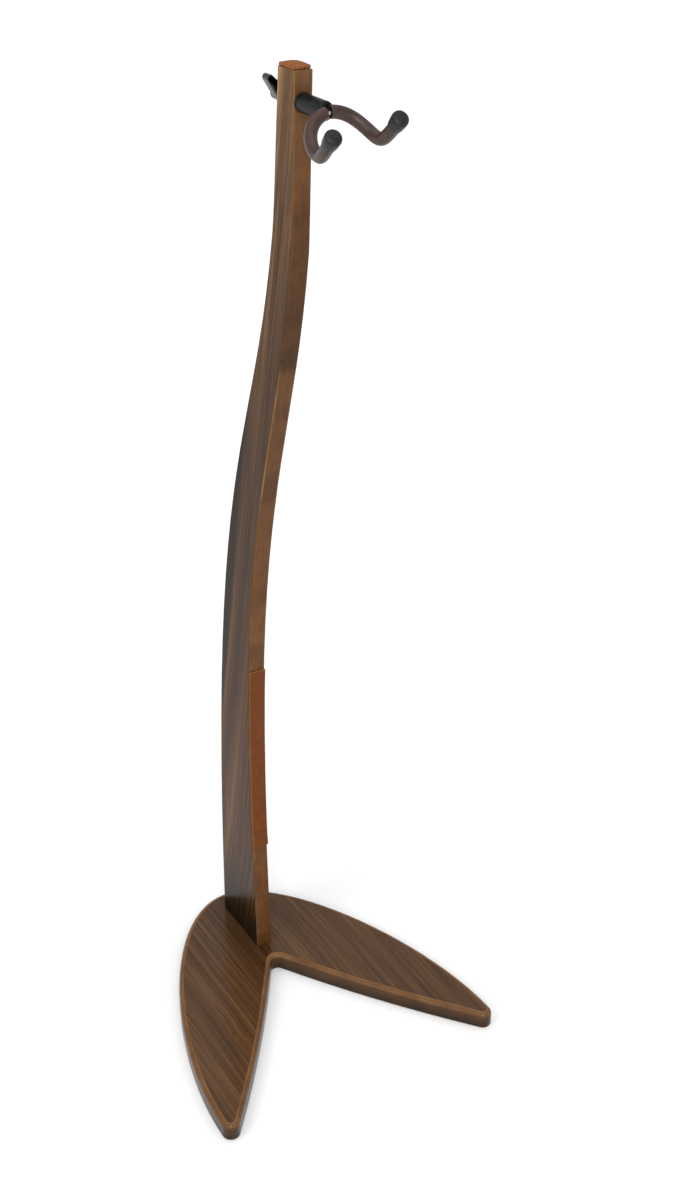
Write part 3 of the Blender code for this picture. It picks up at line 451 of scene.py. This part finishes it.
class STAND_OT_base(bpy.types.Operator):
    """Build the V-shaped base board"""

    bl_idname = "stand.base"
    bl_label = "Base board"

    def execute(self, context):
        low, top = PLATE_LOW.z, PLATE_HIGH.z
        centre = ((PLATE_LOW.x + PLATE_HIGH.x) / 2, (PLATE_LOW.y + PLATE_HIGH.y) / 2, top)
        # places here are in metres; a dark band runs front to back, just left of the foot: painted shade cast by
        # the upright
        dark_band = ((PLATE_LOW.x, 1.06), (-0.095, 1.04), (-0.060, 0.90), (-0.028, 0.66), (-0.006, 0.60),
                 (0.012, 0.94), (PLATE_HIGH.x, 1.0))
        knot = (-102.5 * MM, -52.5 * MM, top)
        gains = (0.70, 0.76, 0.80)
        veneer = walnut_veneer("walnut_veneer_base", centre, (0.0, 0.0, 0.0), ALONG_Y,
                               context.scene.stand_wood.base_gloss, gains, ((ACROSS, dark_band),), knot)
        # the edge is darker below, which is painted shade, lighter up its roundover, which is a painted highlight,
        # and rubbed pale on the arris at its top
        olive = (0.90, 1.02, 1.35)
        levels = ((low, 0.20), (low + 7 * MM, 0.32), (top - 5 * MM, 0.58), (top - 3 * MM, 1.10),
                  (top - 1.2 * MM, 1.20), (top - 0.55 * MM, 0.95), (top - 0.40 * MM, 1.60),
                  (top - 0.05 * MM, 1.60))
        stain_and_painted_light = [(height, (*(bright * channel for channel in olive), 1.0)) for height, bright in levels]
        flecks = (40 * MM, 40 * MM, 4 * MM)
        edge = edge_timber("stained_edge_base_with_painted_light", flecks, stain_and_painted_light)
        bm = merged_copy("base_plate")
        for face in bm.faces:
            face.material_index = 0 if abs(face.normal.z) > FACE_ON else 1
        piece = add_piece(bm, "base_board", "stand", (veneer, edge), ("base_plate",))
        keep_flats(piece)
        return {"FINISHED"}


class STAND_OT_upright(bpy.types.Operator):
    """Build the S-curved upright"""

    bl_idname = "stand.upright"
    bl_label = "Upright"

    def execute(self, context):
        wood = context.scene.stand_wood
        low, high = BOARD_LOW.z, BOARD_HIGH.z
        middle = (0.0, (BOARD_LOW.y + BOARD_HIGH.y) / 2, (low + high) / 2)
        # places here are in metres; the sides are darkest at the foot, which is painted shade, and palest at the
        # upright's end
        foot_shade_and_tones = ((low, 0.15), (0.05, 0.22), (0.13, 0.90), (0.22, 1.05), (0.38, 0.85), (0.70, 0.85),
                 (0.85, (1.10, 1.14, 1.20, 1.0)), (0.96, (1.50, 1.72, 2.00, 1.0)),
                 (high, (2.30, 2.70, 3.25, 1.0)))
        # a band of dark heartwood follows the tilted grain and leaves the board at its rear edge
        across = (0.0, cos(wood.grain_tilt), sin(wood.grain_tilt))
        dark_band = ((0.170, 1.0), (0.180, 0.82), (0.188, 1.0), (0.194, 1.15), (0.199, 0.34), (0.206, 0.18),
                 (0.216, 0.28))
        gains = (0.45, 0.61, 0.83)
        veneer = walnut_veneer("walnut_veneer_upright", middle, (wood.grain_tilt, 0.0, 0.0), ALONG_Z,
                               wood.board_gloss, gains, ((UP, foot_shade_and_tones), (across, dark_band)))
        # each timber block of the edges has its own tone, changing within a hair's width; the lowest darkens
        # towards the foot, which is painted shade
        hair = 0.6 * MM
        blocks_and_foot_shade = ((low, 0.72), (0.10, 1.05), (0.30, 1.0), (0.444, 0.80), (0.4455, 1.1), (0.447, 1.05),
                  (0.555 - hair, 0.92), (0.555, 0.98), (0.631 - hair, 0.88), (0.631, 0.66),
                  (0.668 - hair, 0.70), (0.668, 0.86), (0.784, 0.84), (0.7855, 1.02), (0.788, 0.56),
                  (0.85, 0.52), (0.885, 0.66), (0.90, 0.56), (0.96, 0.90),
                  (high, (1.15, 1.32, 1.80, 1.0)))
        # the arrises are paler, most of all below the yoke and at the top: sanded through to paler wood below the
        # yoke, a painted highlight at the top
        worn = ((low, 0.10), (0.60, 0.10), (0.64, 0.85), (0.76, 0.85), (0.80, 0.05), (0.93, 0.10),
                (high, 0.55))
        flecks = (3 * MM, 10 * MM, 18 * MM)
        edge = edge_timber("stained_edge_upright_with_painted_shade", flecks, blocks_and_foot_shade)
        arris = edge_timber("sanded_and_highlit_arris_upright", flecks, blocks_and_foot_shade, worn)
        end_arris = high - 2.5 * MM
        bm = merged_copy("upright")
        for face in bm.faces:
            side = abs(face.normal.x)
            wear_and_highlight_face = side > ARRIS_FACE or face.calc_center_median().z > end_arris
            face.material_index = 0 if side > SIDE_FACE else 2 if wear_and_highlight_face else 1
        piece = add_piece(bm, "upright_board", "stand", (veneer, edge, arris),
                          ("upright",))
        keep_flats(piece)
        return {"FINISHED"}


# ---------------------------------------------------------------- leather

HIDE_EDGE = 0.5 * MM        # softening of the hide's cut edges
PAD_MARGIN = 0.6 * MM       # how much narrower than its solid the pad's hide is
LOOSE_LENGTH = 22 * MM      # how much of the pad's lower end stands off the wood
CUT_WANDER = 0.12 * MM      # how far the pad's hand-cut sides wander
SIDE_CURL = 0.25 * MM       # how far the pad's sides curl to the wood
END_WEAR = 0.1 * MM         # how uneven the end piece's face is
END_BOW = 0.12              # how far its corners are drawn in, 0 for a true rectangle


def suede(name, face, away):
    """Brushed suede: short nap leaning in patches, matt, with a faint bloom at grazing angles."""
    leather = bpy.context.scene.stand_leather
    material, tree, place = new_material(name)
    tuft = node(tree, "ShaderNodeTexNoise", {"Vector": place, "Scale": 1 / leather.nap, "Detail": 4.0,
                                             "Roughness": 0.7})
    brushed = node(tree, "ShaderNodeTexNoise", {"Vector": place, "Scale": 1 / (9 * MM), "Detail": 2.0})
    tone = node(tree, "ShaderNodeMath", {0: brushed.outputs["Fac"], 1: 0.18}, operation="MULTIPLY")
    tone = node(tree, "ShaderNodeMath", {0: tuft.outputs["Fac"], 1: 0.82, 2: tone.outputs[0]},
                operation="MULTIPLY_ADD")
    shades = node(tree, "ShaderNodeValToRGB", {"Fac": tone.outputs[0]}, stops=((0.39, away), (0.60, face)))
    relief = node(tree, "ShaderNodeBump", {"Height": tuft.outputs["Fac"], "Strength": 0.6,
                                           "Distance": 0.4 * MM})
    rough = node(tree, "ShaderNodeMapRange", {"Value": tuft.outputs["Fac"], "To Min": 0.82, "To Max": 1.0})
    shader = node(tree, "ShaderNodeBsdfPrincipled", {"Base Color": shades.outputs[0],
                                                     "Roughness": rough.outputs[0],
                                                     "Specular IOR Level": 0.25, "Sheen Weight": 0.15,
                                                     "Sheen Roughness": 0.5, "Sheen Tint": face,
                                                     "Normal": relief.outputs[0]})
    node(tree, "ShaderNodeOutputMaterial", {"Surface": shader.outputs[0]})
    return material


def pad_face(height):
    """Return where the pad's outer face stands along Y at a height, read off its CAD solid."""
    verts = frame["nodes"]["body_rest_pad"].data.vertices
    levels = {}
    for vert in verts:
        level = round(vert.co.z, 5)
        levels[level] = min(vert.co.y, levels.get(level, vert.co.y))
    places = sorted(levels.items())
    for (low, y_low), (high, y_high) in zip(places, places[1:]):
        if low <= height <= high:
            return y_low + (y_high - y_low) * (height - low) / (high - low)
    return places[0][1] if height < places[0][0] else places[-1][1]


class STAND_OT_body_pad(bpy.types.Operator):
    """Build the suede pad that the guitar's body rests on"""

    bl_idname = "stand.body_pad"
    bl_label = "Body pad"

    def execute(self, context):
        leather = context.scene.stand_leather
        width = PAD_HIGH.x - PAD_LOW.x - PAD_MARGIN
        tall = PAD_HIGH.z - PAD_LOW.z
        bm = bmesh.new()
        bmesh.ops.create_grid(bm, x_segments=10, y_segments=90, size=0.5)
        for vert in bm.verts:
            across, up = vert.co.x, vert.co.y + 0.5
            end = max(0.0, 1.0 - up * tall / LOOSE_LENGTH)
            height = PAD_LOW.z + up * tall + across * leather.slant * (1.0 - up)
            off = leather.lift * end ** 2 * (0.6 + 0.8 * (across + 0.5))
            wander = noise.noise(Vector((across * 2, up * 60, 0.0))) * CUT_WANDER
            curl = SIDE_CURL * abs(2 * across) ** 6
            vert.co = (across * width + wander, pad_face(height) - off + curl, height)
        bmesh.ops.recalc_face_normals(bm, faces=bm.faces)
        if bm.faces[0].normal.y > 0:
            bmesh.ops.reverse_faces(bm, faces=bm.faces)
        face = suede("suede_pad", tuple(leather.pad), tuple(leather.pad_dark))
        rim = suede("suede_cut_edge", tuple(leather.cut_edge), tuple(leather.pad))
        piece = add_piece(bm, "suede_body_pad", "stand", (face, rim), ("body_rest_pad",))
        thicken(piece, leather.thickness, rim=1, edge=HIDE_EDGE, segments=3, degrees=50.0)
        return {"FINISHED"}


class STAND_OT_top_leather(bpy.types.Operator):
    """Build the suede piece on the upright's end"""

    bl_idname = "stand.top_leather"
    bl_label = "End leather"

    def execute(self, context):
        leather = context.scene.stand_leather
        low, high = END_LEATHER_LOW.copy(), END_LEATHER_HIGH.copy()
        low.y += 1.3 * MM       # the hide's front stands back from its solid's
        high.x -= 0.2 * MM      # and its right side is cut a little short
        centre, half = (low + high) / 2, (high - low) / 2
        bm = bmesh.new()
        bmesh.ops.create_grid(bm, x_segments=16, y_segments=20, size=1.0)
        for vert in bm.verts:
            u, v = vert.co.x, vert.co.y
            worn = noise.noise(Vector((u * 2, v * 3, 0.0))) * END_WEAR
            sag = leather.top_crown * (u * u + v * v) / 2
            x = centre.x + half.x * u * (1 - END_BOW * v * v) ** 0.5
            y = centre.y + half.y * v * (1 - END_BOW * u * u) ** 0.5
            vert.co = (x, y, high.z - END_WEAR - sag + worn)
        bmesh.ops.recalc_face_normals(bm, faces=bm.faces)
        if bm.faces[0].normal.z < 0:
            bmesh.ops.reverse_faces(bm, faces=bm.faces)
        face = suede("suede_top", tuple(leather.top), tuple(leather.top_dark))
        rim = suede("suede_top_cut_edge", tuple(leather.cut_edge), tuple(leather.top_dark))
        piece = add_piece(bm, "suede_end_piece", "stand", (face, rim), ("top_leather",))
        thicken(piece, leather.top_thickness, rim=1, edge=HIDE_EDGE, segments=3, degrees=50.0)
        return {"FINISHED"}


# ---------------------------------------------------------------- yoke

# Control points of one arm, as shares of the yoke's half width, reach and drop.
ARM_SHARES = ((0.00, 0.0, 0.00), (0.45, 0.0, 0.05), (0.915, 0.18, 0.63),
              (0.90, 0.515, 1.00), (0.985, 0.67, 0.69), (1.00, 1.00, 0.00))
ARM_STEPS = 160             # points along an arm's line
SLEEVE_STEP = 0.8 * MM      # distance between a sleeve's rings
SLEEVE_SIDES = 32           # points round a ring
TUCKED_IN = 2 * MM          # how far a sleeve runs into its cap


def arm_path(yoke, side):
    """Return points along one arm's line, a clamped cubic B-spline from the rod's middle to its end."""
    controls = [Vector((side * x * yoke.half_width, -y * yoke.reach, -z * yoke.drop))
                for x, y, z in ARM_SHARES]
    last = len(controls) - 3
    knots = [0.0] * 3 + [float(i) for i in range(last + 1)] + [float(last)] * 3

    def blend(i, degree, t):
        if degree == 0:
            return 1.0 if knots[i] <= t < knots[i + 1] else 0.0
        left = knots[i + degree] - knots[i]
        right = knots[i + degree + 1] - knots[i + 1]
        rise = (t - knots[i]) / left * blend(i, degree - 1, t) if left else 0.0
        fall = (knots[i + degree + 1] - t) / right * blend(i + 1, degree - 1, t) if right else 0.0
        return rise + fall

    path = []
    for step in range(ARM_STEPS):
        t = last * step / ARM_STEPS
        path.append(sum((control * blend(i, 3, t) for i, control in enumerate(controls)), Vector()))
    return path + [controls[-1].copy()]


def yoke_place(yoke):
    """Return the matrix that puts the yoke's own frame, at the rod's middle, on the stand."""
    middle = Vector((0.0, BARREL_FRONT - yoke.rod_proud, AXIS_HEIGHT))
    return Matrix.Translation(middle) @ Matrix.Rotation(yoke.turn, 4, "Y")


def stretch_of(path, start, end, step):
    """Return points a step apart along a path, between two distances from its start."""
    count = round((end - start) / step)
    wanted = [start + (end - start) * i / count for i in range(count + 1)]
    points = []
    travelled = 0.0
    for a, b in zip(path, path[1:]):
        run = (b - a).length
        while wanted and wanted[0] <= travelled + run + WELD:
            points.append(a.lerp(b, (wanted.pop(0) - travelled) / run))
        travelled += run
    return points


def path_frames(path):
    """Return a matrix at each point, its Z along the path, turned no more than the path turns."""
    turn = (path[1] - path[0]).to_track_quat("Z", "Y")
    frames = []
    for i, place in enumerate(path):
        way = path[min(i + 1, len(path) - 1)] - path[max(i - 1, 0)]
        turn = (turn @ Vector(UP)).rotation_difference(way) @ turn
        frames.append(Matrix.Translation(place) @ turn.to_matrix().to_4x4())
    return frames


def swept(frames, radius, sides):
    """Return a bmesh tube: a ring carried along the frames by extruding its edges."""
    bm = bmesh.new()
    bmesh.ops.create_circle(bm, segments=sides, radius=radius)
    bmesh.ops.transform(bm, matrix=frames[0], verts=bm.verts)
    ring = bm.edges[:]
    for before, after in zip(frames, frames[1:]):
        grown = bmesh.ops.extrude_edge_only(bm, edges=ring)["geom"]
        verts = {item for item in grown if isinstance(item, bmesh.types.BMVert)}
        ring = [item for item in grown
                if isinstance(item, bmesh.types.BMEdge) and set(item.verts) <= verts]
        bmesh.ops.transform(bm, matrix=after @ before.inverted(), verts=list(verts))
    bmesh.ops.recalc_face_normals(bm, faces=bm.faces)
    return bm


def foam_rubber(name, face, handled):
    """Brown closed-cell foam rubber: soft broad sheen, fine open grain, darker where it is handled."""
    material, tree, place = new_material(name)
    cells = node(tree, "ShaderNodeTexNoise", {"Vector": place, "Scale": 1 / (0.7 * MM), "Detail": 2.0})
    patch = node(tree, "ShaderNodeTexNoise", {"Vector": place, "Scale": 1 / (14 * MM), "Detail": 3.0})
    shades = node(tree, "ShaderNodeValToRGB", {"Fac": patch.outputs["Fac"]},
                  stops=((0.35, handled), (0.60, face)))
    rough = node(tree, "ShaderNodeMapRange", {"Value": cells.outputs["Fac"], "From Min": 0.3,
                                              "From Max": 0.7, "To Min": 0.31, "To Max": 0.44})
    relief = node(tree, "ShaderNodeBump", {"Height": cells.outputs["Fac"], "Strength": 0.35,
                                           "Distance": 0.12 * MM})
    shader = node(tree, "ShaderNodeBsdfPrincipled", {"Base Color": shades.outputs[0], "IOR": 1.38,
                                                     "Roughness": rough.outputs[0],
                                                     "Normal": relief.outputs[0]})
    node(tree, "ShaderNodeOutputMaterial", {"Surface": shader.outputs[0]})
    return material


def moulded_rubber(name, face, roughness, grit, ior=1.5):
    """Moulded rubber, nylon or fibre: dark and even, its fine grit only breaking up the highlight."""
    material, tree, place = new_material(name)
    spark = node(tree, "ShaderNodeTexNoise", {"Vector": place, "Scale": 1 / grit, "Detail": 2.0})
    bloom = node(tree, "ShaderNodeTexNoise", {"Vector": place, "Scale": 1 / (6 * MM), "Detail": 2.0})
    shades = node(tree, "ShaderNodeValToRGB", {"Fac": bloom.outputs["Fac"]},
                  stops=((0.42, face), (0.70, lit(face, 1.5, 0.003))))
    rough = node(tree, "ShaderNodeMapRange", {"Value": spark.outputs["Fac"], "To Min": roughness - 0.12,
                                              "To Max": roughness + 0.12})
    relief = node(tree, "ShaderNodeBump", {"Height": spark.outputs["Fac"], "Strength": 0.4,
                                           "Distance": 0.1 * MM})
    shader = node(tree, "ShaderNodeBsdfPrincipled", {"Base Color": shades.outputs[0], "IOR": ior,
                                                     "Roughness": rough.outputs[0],
                                                     "Normal": relief.outputs[0]})
    node(tree, "ShaderNodeOutputMaterial", {"Surface": shader.outputs[0]})
    return material


def powder_coat(name, face):
    """Black powder-coated steel: satin, with the faint orange peel that baked powder leaves."""
    material, tree, place = new_material(name)
    peel = node(tree, "ShaderNodeTexNoise", {"Vector": place, "Scale": 1 / (0.8 * MM), "Detail": 2.0})
    handled = node(tree, "ShaderNodeTexNoise", {"Vector": place, "Scale": 1 / (7 * MM), "Detail": 2.0})
    shades = node(tree, "ShaderNodeValToRGB", {"Fac": handled.outputs["Fac"]},
                  stops=((0.45, face), (0.72, lit(face, 1.8, 0.004))))
    rough = node(tree, "ShaderNodeMapRange", {"Value": handled.outputs["Fac"], "To Min": 0.28,
                                              "To Max": 0.46})
    relief = node(tree, "ShaderNodeBump", {"Height": peel.outputs["Fac"], "Strength": 0.25,
                                           "Distance": 0.08 * MM})
    shader = node(tree, "ShaderNodeBsdfPrincipled", {"Base Color": shades.outputs[0], "IOR": 1.22,
                                                     "Roughness": rough.outputs[0],
                                                     "Normal": relief.outputs[0]})
    node(tree, "ShaderNodeOutputMaterial", {"Surface": shader.outputs[0]})
    return material


def turned_metal(name, face, roughness):
    """Machined metal, zinc plated or bare brass: fine tool marks in its sheen, faintly dull in patches."""
    material, tree, place = new_material(name)
    marks = node(tree, "ShaderNodeMapping", {"Vector": place, "Scale": (3 * MM, 0.15 * MM, 0.15 * MM)},
                 vector_type="TEXTURE")
    tool = node(tree, "ShaderNodeTexNoise", {"Vector": marks.outputs[0], "Scale": 1.0, "Detail": 1.0})
    dull = node(tree, "ShaderNodeTexNoise", {"Vector": place, "Scale": 1 / (3 * MM), "Detail": 2.0})
    shades = node(tree, "ShaderNodeValToRGB", {"Fac": dull.outputs["Fac"]},
                  stops=((0.40, lit(face, 0.72)), (0.60, face)))
    rough = node(tree, "ShaderNodeMapRange", {"Value": tool.outputs["Fac"], "To Min": roughness - 0.08,
                                              "To Max": roughness + 0.12})
    shader = node(tree, "ShaderNodeBsdfPrincipled", {"Base Color": shades.outputs[0], "Metallic": 1.0,
                                                     "Roughness": rough.outputs[0]})
    node(tree, "ShaderNodeOutputMaterial", {"Surface": shader.outputs[0]})
    return material


class STAND_OT_barrel(bpy.types.Operator):
    """Build the steel barrel and the rod with its rivet"""

    bl_idname = "stand.barrel"
    bl_label = "Barrel and rod"

    def execute(self, context):
        steel = powder_coat("powder_coated_steel", tuple(context.scene.stand_yoke.steel))
        zinc = turned_metal("zinc_plated_rivet", tuple(context.scene.stand_knob.zinc), 0.3)
        for name, source, material, slot in (("steel_barrel", "barrel", steel, "black_steel"),
                                             ("bent_rod", "yoke_rod", steel, "black_steel"),
                                             ("rivet", "rod_rivet", zinc, "zinc_steel")):
            piece = add_piece(merged_copy(source), name, "yoke", (material,), (source,))
            keep_flats(piece)
        return {"FINISHED"}


class STAND_OT_sleeves(bpy.types.Operator):
    """Build the two rubber sleeves"""

    bl_idname = "stand.sleeves"
    bl_label = "Rubber sleeves"

    def execute(self, context):
        yoke = context.scene.stand_yoke
        rubber = foam_rubber("foam_rubber_sleeve", tuple(yoke.sleeve), tuple(yoke.sleeve_dark))
        for side, word in ((-1, "left"), (1, "right")):
            whole = arm_path(yoke, side)
            total = sum((b - a).length for a, b in zip(whole, whole[1:]))
            path = stretch_of(whole, yoke.sleeve_start, total - yoke.cap_length + TUCKED_IN, SLEEVE_STEP)
            bm = swept(path_frames(path), yoke.sleeve_radius, SLEEVE_SIDES)
            bm.verts.ensure_lookup_table()
            # pinch the rubber inside the arm's tightest bend
            bends = [path[i - 1] - 2 * path[i] + path[i + 1] for i in range(1, len(path) - 1)]
            tightest = max(range(len(bends)), key=lambda i: bends[i].length)
            inward = bends[tightest].normalized()
            for i, place in enumerate(path):
                off = (i - 1 - tightest) * SLEEVE_STEP / yoke.crease_width
                depth = yoke.crease_depth * exp(-abs(off) ** 1.5)
                for vert in bm.verts[i * SLEEVE_SIDES:(i + 1) * SLEEVE_SIDES]:
                    facing = max(0.0, (vert.co - place).normalized().dot(inward))
                    vert.co -= inward * depth * facing ** 2
            bmesh.ops.transform(bm, matrix=yoke_place(yoke), verts=bm.verts)
            piece = add_piece(bm, "rubber_sleeve_" + word, "yoke", (rubber,),
                              ("sleeve_" + word,))
            thicken(piece, yoke.sleeve_wall, rim=0, edge=0.35 * MM, segments=2, degrees=60.0)
        return {"FINISHED"}


class STAND_OT_caps(bpy.types.Operator):
    """Build the two rubber end caps"""

    bl_idname = "stand.caps"
    bl_label = "Rubber caps"

    def execute(self, context):
        yoke = context.scene.stand_yoke
        rubber = moulded_rubber("moulded_rubber_cap", tuple(yoke.cap), 0.46, 0.9 * MM, 1.36)
        radius, base, mouth = yoke.cap_radius, yoke.cap_base_radius, -yoke.cap_length
        dome_top, dome_height, shoulder = 2.2 * MM, 4.4 * MM, 0.62
        bore, bore_end = 3.5 * MM, -3 * MM
        angles = [pi / 2 * i / 16 for i in range(16)]
        profile = [(radius * sin(a) ** shoulder, dome_top - dome_height + dome_height * cos(a) ** shoulder)
                   for a in angles]
        profile += [(radius, dome_top - dome_height), (radius - 0.15 * MM, -5.5 * MM),
                    (base + 0.35 * MM, mouth + 2.2 * MM), (base, mouth + 0.5 * MM),
                    (base - 0.4 * MM, mouth), (bore, mouth), (bore, bore_end), (0.0, bore_end)]
        for side, word in ((-1, "left"), (1, "right")):
            whole = arm_path(yoke, side)
            way = whole[-1] - whole[-4]
            turn = way.to_track_quat("Z", "Y").to_matrix().to_4x4()
            bm = spun(profile, 48)
            place = yoke_place(yoke) @ Matrix.Translation(whole[-1]) @ turn
            bmesh.ops.transform(bm, matrix=place, verts=bm.verts)
            add_piece(bm, "rubber_cap_" + word, "yoke", (rubber,), ("cap_" + word,))
        return {"FINISHED"}


class STAND_OT_knob(bpy.types.Operator):
    """Build the wing knob"""

    bl_idname = "stand.knob"
    bl_label = "Wing knob"

    def execute(self, context):
        nylon = moulded_rubber("moulded_nylon_knob", tuple(context.scene.stand_knob.nylon), 0.24, 0.6 * MM)
        piece = add_piece(merged_copy("wing_knob"), "nylon_wing_knob", "knob", (nylon,),
                          ("wing_knob",))
        keep_flats(piece)
        return {"FINISHED"}


class STAND_OT_fittings(bpy.types.Operator):
    """Finish the bolts, washers, inserts, stud and glides"""

    bl_idname = "stand.fittings"
    bl_label = "Fittings"

    def execute(self, context):
        knob = context.scene.stand_knob
        zinc = turned_metal("zinc_plated_steel", tuple(knob.zinc), 0.30)
        brass = turned_metal("turned_brass", tuple(knob.brass), 0.28)
        fibre = moulded_rubber("pressed_fibre", tuple(knob.fibre), 0.8, 0.4 * MM)
        glide = moulded_rubber("glide_rubber", tuple(knob.glide), 0.7, 0.5 * MM)
        finishes = {"zinc_steel": zinc, "brass": brass, "fibre": fibre, "glide_rubber": glide}
        for row in frame["record"]["subparts"]:
            shown = frame["nodes"][row["node"]]
            if row["material_slot"] in finishes and not shown.hide_render:
                dress(row["node"], finishes[row["material_slot"]])
        return {"FINISHED"}


# ---------------------------------------------------------------- stage

FLOOR_RADIUS = 60.0
FLOOR_GAP = 0.1 * MM        # how far the floor lies below the stand, so that the two faces don't fight
FRONT_LIGHT = (1.3, 2.6, -2.2)      # the way its light travels
LEFT_LIGHT = (0.76, 0.15, -0.63)
LEFT_SHARE = 0.35           # the left light's strength as a share of the front light's


def matt_floor(name, face):
    """Matt painted studio floor: plain white, very faintly uneven."""
    material, tree, place = new_material(name)
    uneven = node(tree, "ShaderNodeTexNoise", {"Vector": place, "Scale": 2.0, "Detail": 1.0})
    rough = node(tree, "ShaderNodeMapRange", {"Value": uneven.outputs["Fac"], "To Min": 0.85,
                                              "To Max": 0.95})
    shader = node(tree, "ShaderNodeBsdfPrincipled", {"Base Color": face, "Roughness": rough.outputs[0],
                                                     "Specular IOR Level": 0.1})
    node(tree, "ShaderNodeOutputMaterial", {"Surface": shader.outputs[0]})
    return material


class STAND_OT_stage(bpy.types.Operator):
    """Set up the floor, lights and camera"""

    bl_idname = "stand.stage"
    bl_label = "Studio"

    def execute(self, context):
        scene = context.scene
        stage = scene.stand_stage
        bm = bmesh.new()
        bmesh.ops.create_circle(bm, segments=96, radius=FLOOR_RADIUS, cap_ends=True)
        bmesh.ops.translate(bm, vec=(0.0, 0.0, CAD_BOX[0].z - FLOOR_GAP), verts=bm.verts)
        mesh = bpy.data.meshes.new("studio_floor")
        bm.to_mesh(mesh)
        bm.free()
        mesh.materials.append(matt_floor("matt_white_floor", tuple(stage.floor)))
        floor = bpy.data.objects.new("studio_floor", mesh)
        scene.collection.objects.link(floor)

        scene.world = bpy.data.worlds.new("studio")
        scene.world.use_nodes = True
        tree = scene.world.node_tree
        tree.nodes.clear()
        way = node(tree, "ShaderNodeTexCoord").outputs["Generated"]
        height = node(tree, "ShaderNodeSeparateXYZ", {0: way}).outputs["Z"]
        levels = ((0.25, stage.wall), (0.50, stage.gap), (0.70, stage.gap), (0.92, stage.ceiling))
        bright = node(tree, "ShaderNodeValToRGB", {"Fac": height}, stops=levels)
        back = node(tree, "ShaderNodeBackground", {"Color": bright.outputs[0]})
        node(tree, "ShaderNodeOutputWorld", {"Surface": back.outputs[0]})

        for name, way, strength in (("front_light", FRONT_LIGHT, stage.key),
                                    ("left_light", LEFT_LIGHT, stage.key * LEFT_SHARE)):
            data = bpy.data.lights.new(name, "SUN")
            data.energy = strength
            data.angle = stage.key_spread
            lamp = bpy.data.objects.new(name, data)
            lamp.rotation_euler = Vector(way).to_track_quat("-Z", "Y").to_euler()
            scene.collection.objects.link(lamp)

        data = bpy.data.cameras.new("camera")
        data.lens = stage.lens
        camera = bpy.data.objects.new("camera", data)
        camera.matrix_world = (Matrix.Translation(stage.camera_place)
                               @ Matrix.Rotation(stage.azimuth, 4, "Z")
                               @ Matrix.Rotation(stage.tilt, 4, "X")
                               @ Matrix.Rotation(stage.roll, 4, "Z"))
        scene.collection.objects.link(camera)
        scene.camera = camera
        scene.view_settings.view_transform = "Standard"
        return {"FINISHED"}


# ---------------------------------------------------------------- add-on

OPERATORS = (STAND_OT_base, STAND_OT_upright, STAND_OT_body_pad, STAND_OT_top_leather, STAND_OT_barrel,
             STAND_OT_sleeves, STAND_OT_caps, STAND_OT_knob, STAND_OT_fittings, STAND_OT_stage)


class STAND_PT_pieces(bpy.types.Panel):
    """Lists the stand's pieces and their settings"""

    bl_idname = "STAND_PT_pieces"
    bl_label = "Guitar floor stand"
    bl_space_type = "VIEW_3D"
    bl_region_type = "UI"
    bl_category = "Stand"

    def draw(self, context):
        for operator in OPERATORS:
            self.layout.operator(operator.bl_idname)
        for attribute, group in GROUPS.items():
            box = self.layout.box()
            box.label(text=group.__doc__)
            for name in group.__annotations__:
                box.prop(getattr(context.scene, attribute), name)


def register():
    """Register the settings, the operators and the panel."""
    for attribute, group in GROUPS.items():
        bpy.utils.register_class(group)
        setattr(bpy.types.Scene, attribute, PointerProperty(type=group))
    for operator in OPERATORS:
        bpy.utils.register_class(operator)
    bpy.utils.register_class(STAND_PT_pieces)


def unregister():
    """Take back what register() added."""
    bpy.utils.unregister_class(STAND_PT_pieces)
    for operator in reversed(OPERATORS):
        bpy.utils.unregister_class(operator)
    for attribute, group in GROUPS.items():
        delattr(bpy.types.Scene, attribute)
        bpy.utils.unregister_class(group)


def main():
    """Build every piece and the stage."""
    register()
    for operator in OPERATORS:
        family, name = operator.bl_idname.split(".")
        getattr(getattr(bpy.ops, family), name)()


if __name__ == "__main__":
    main()
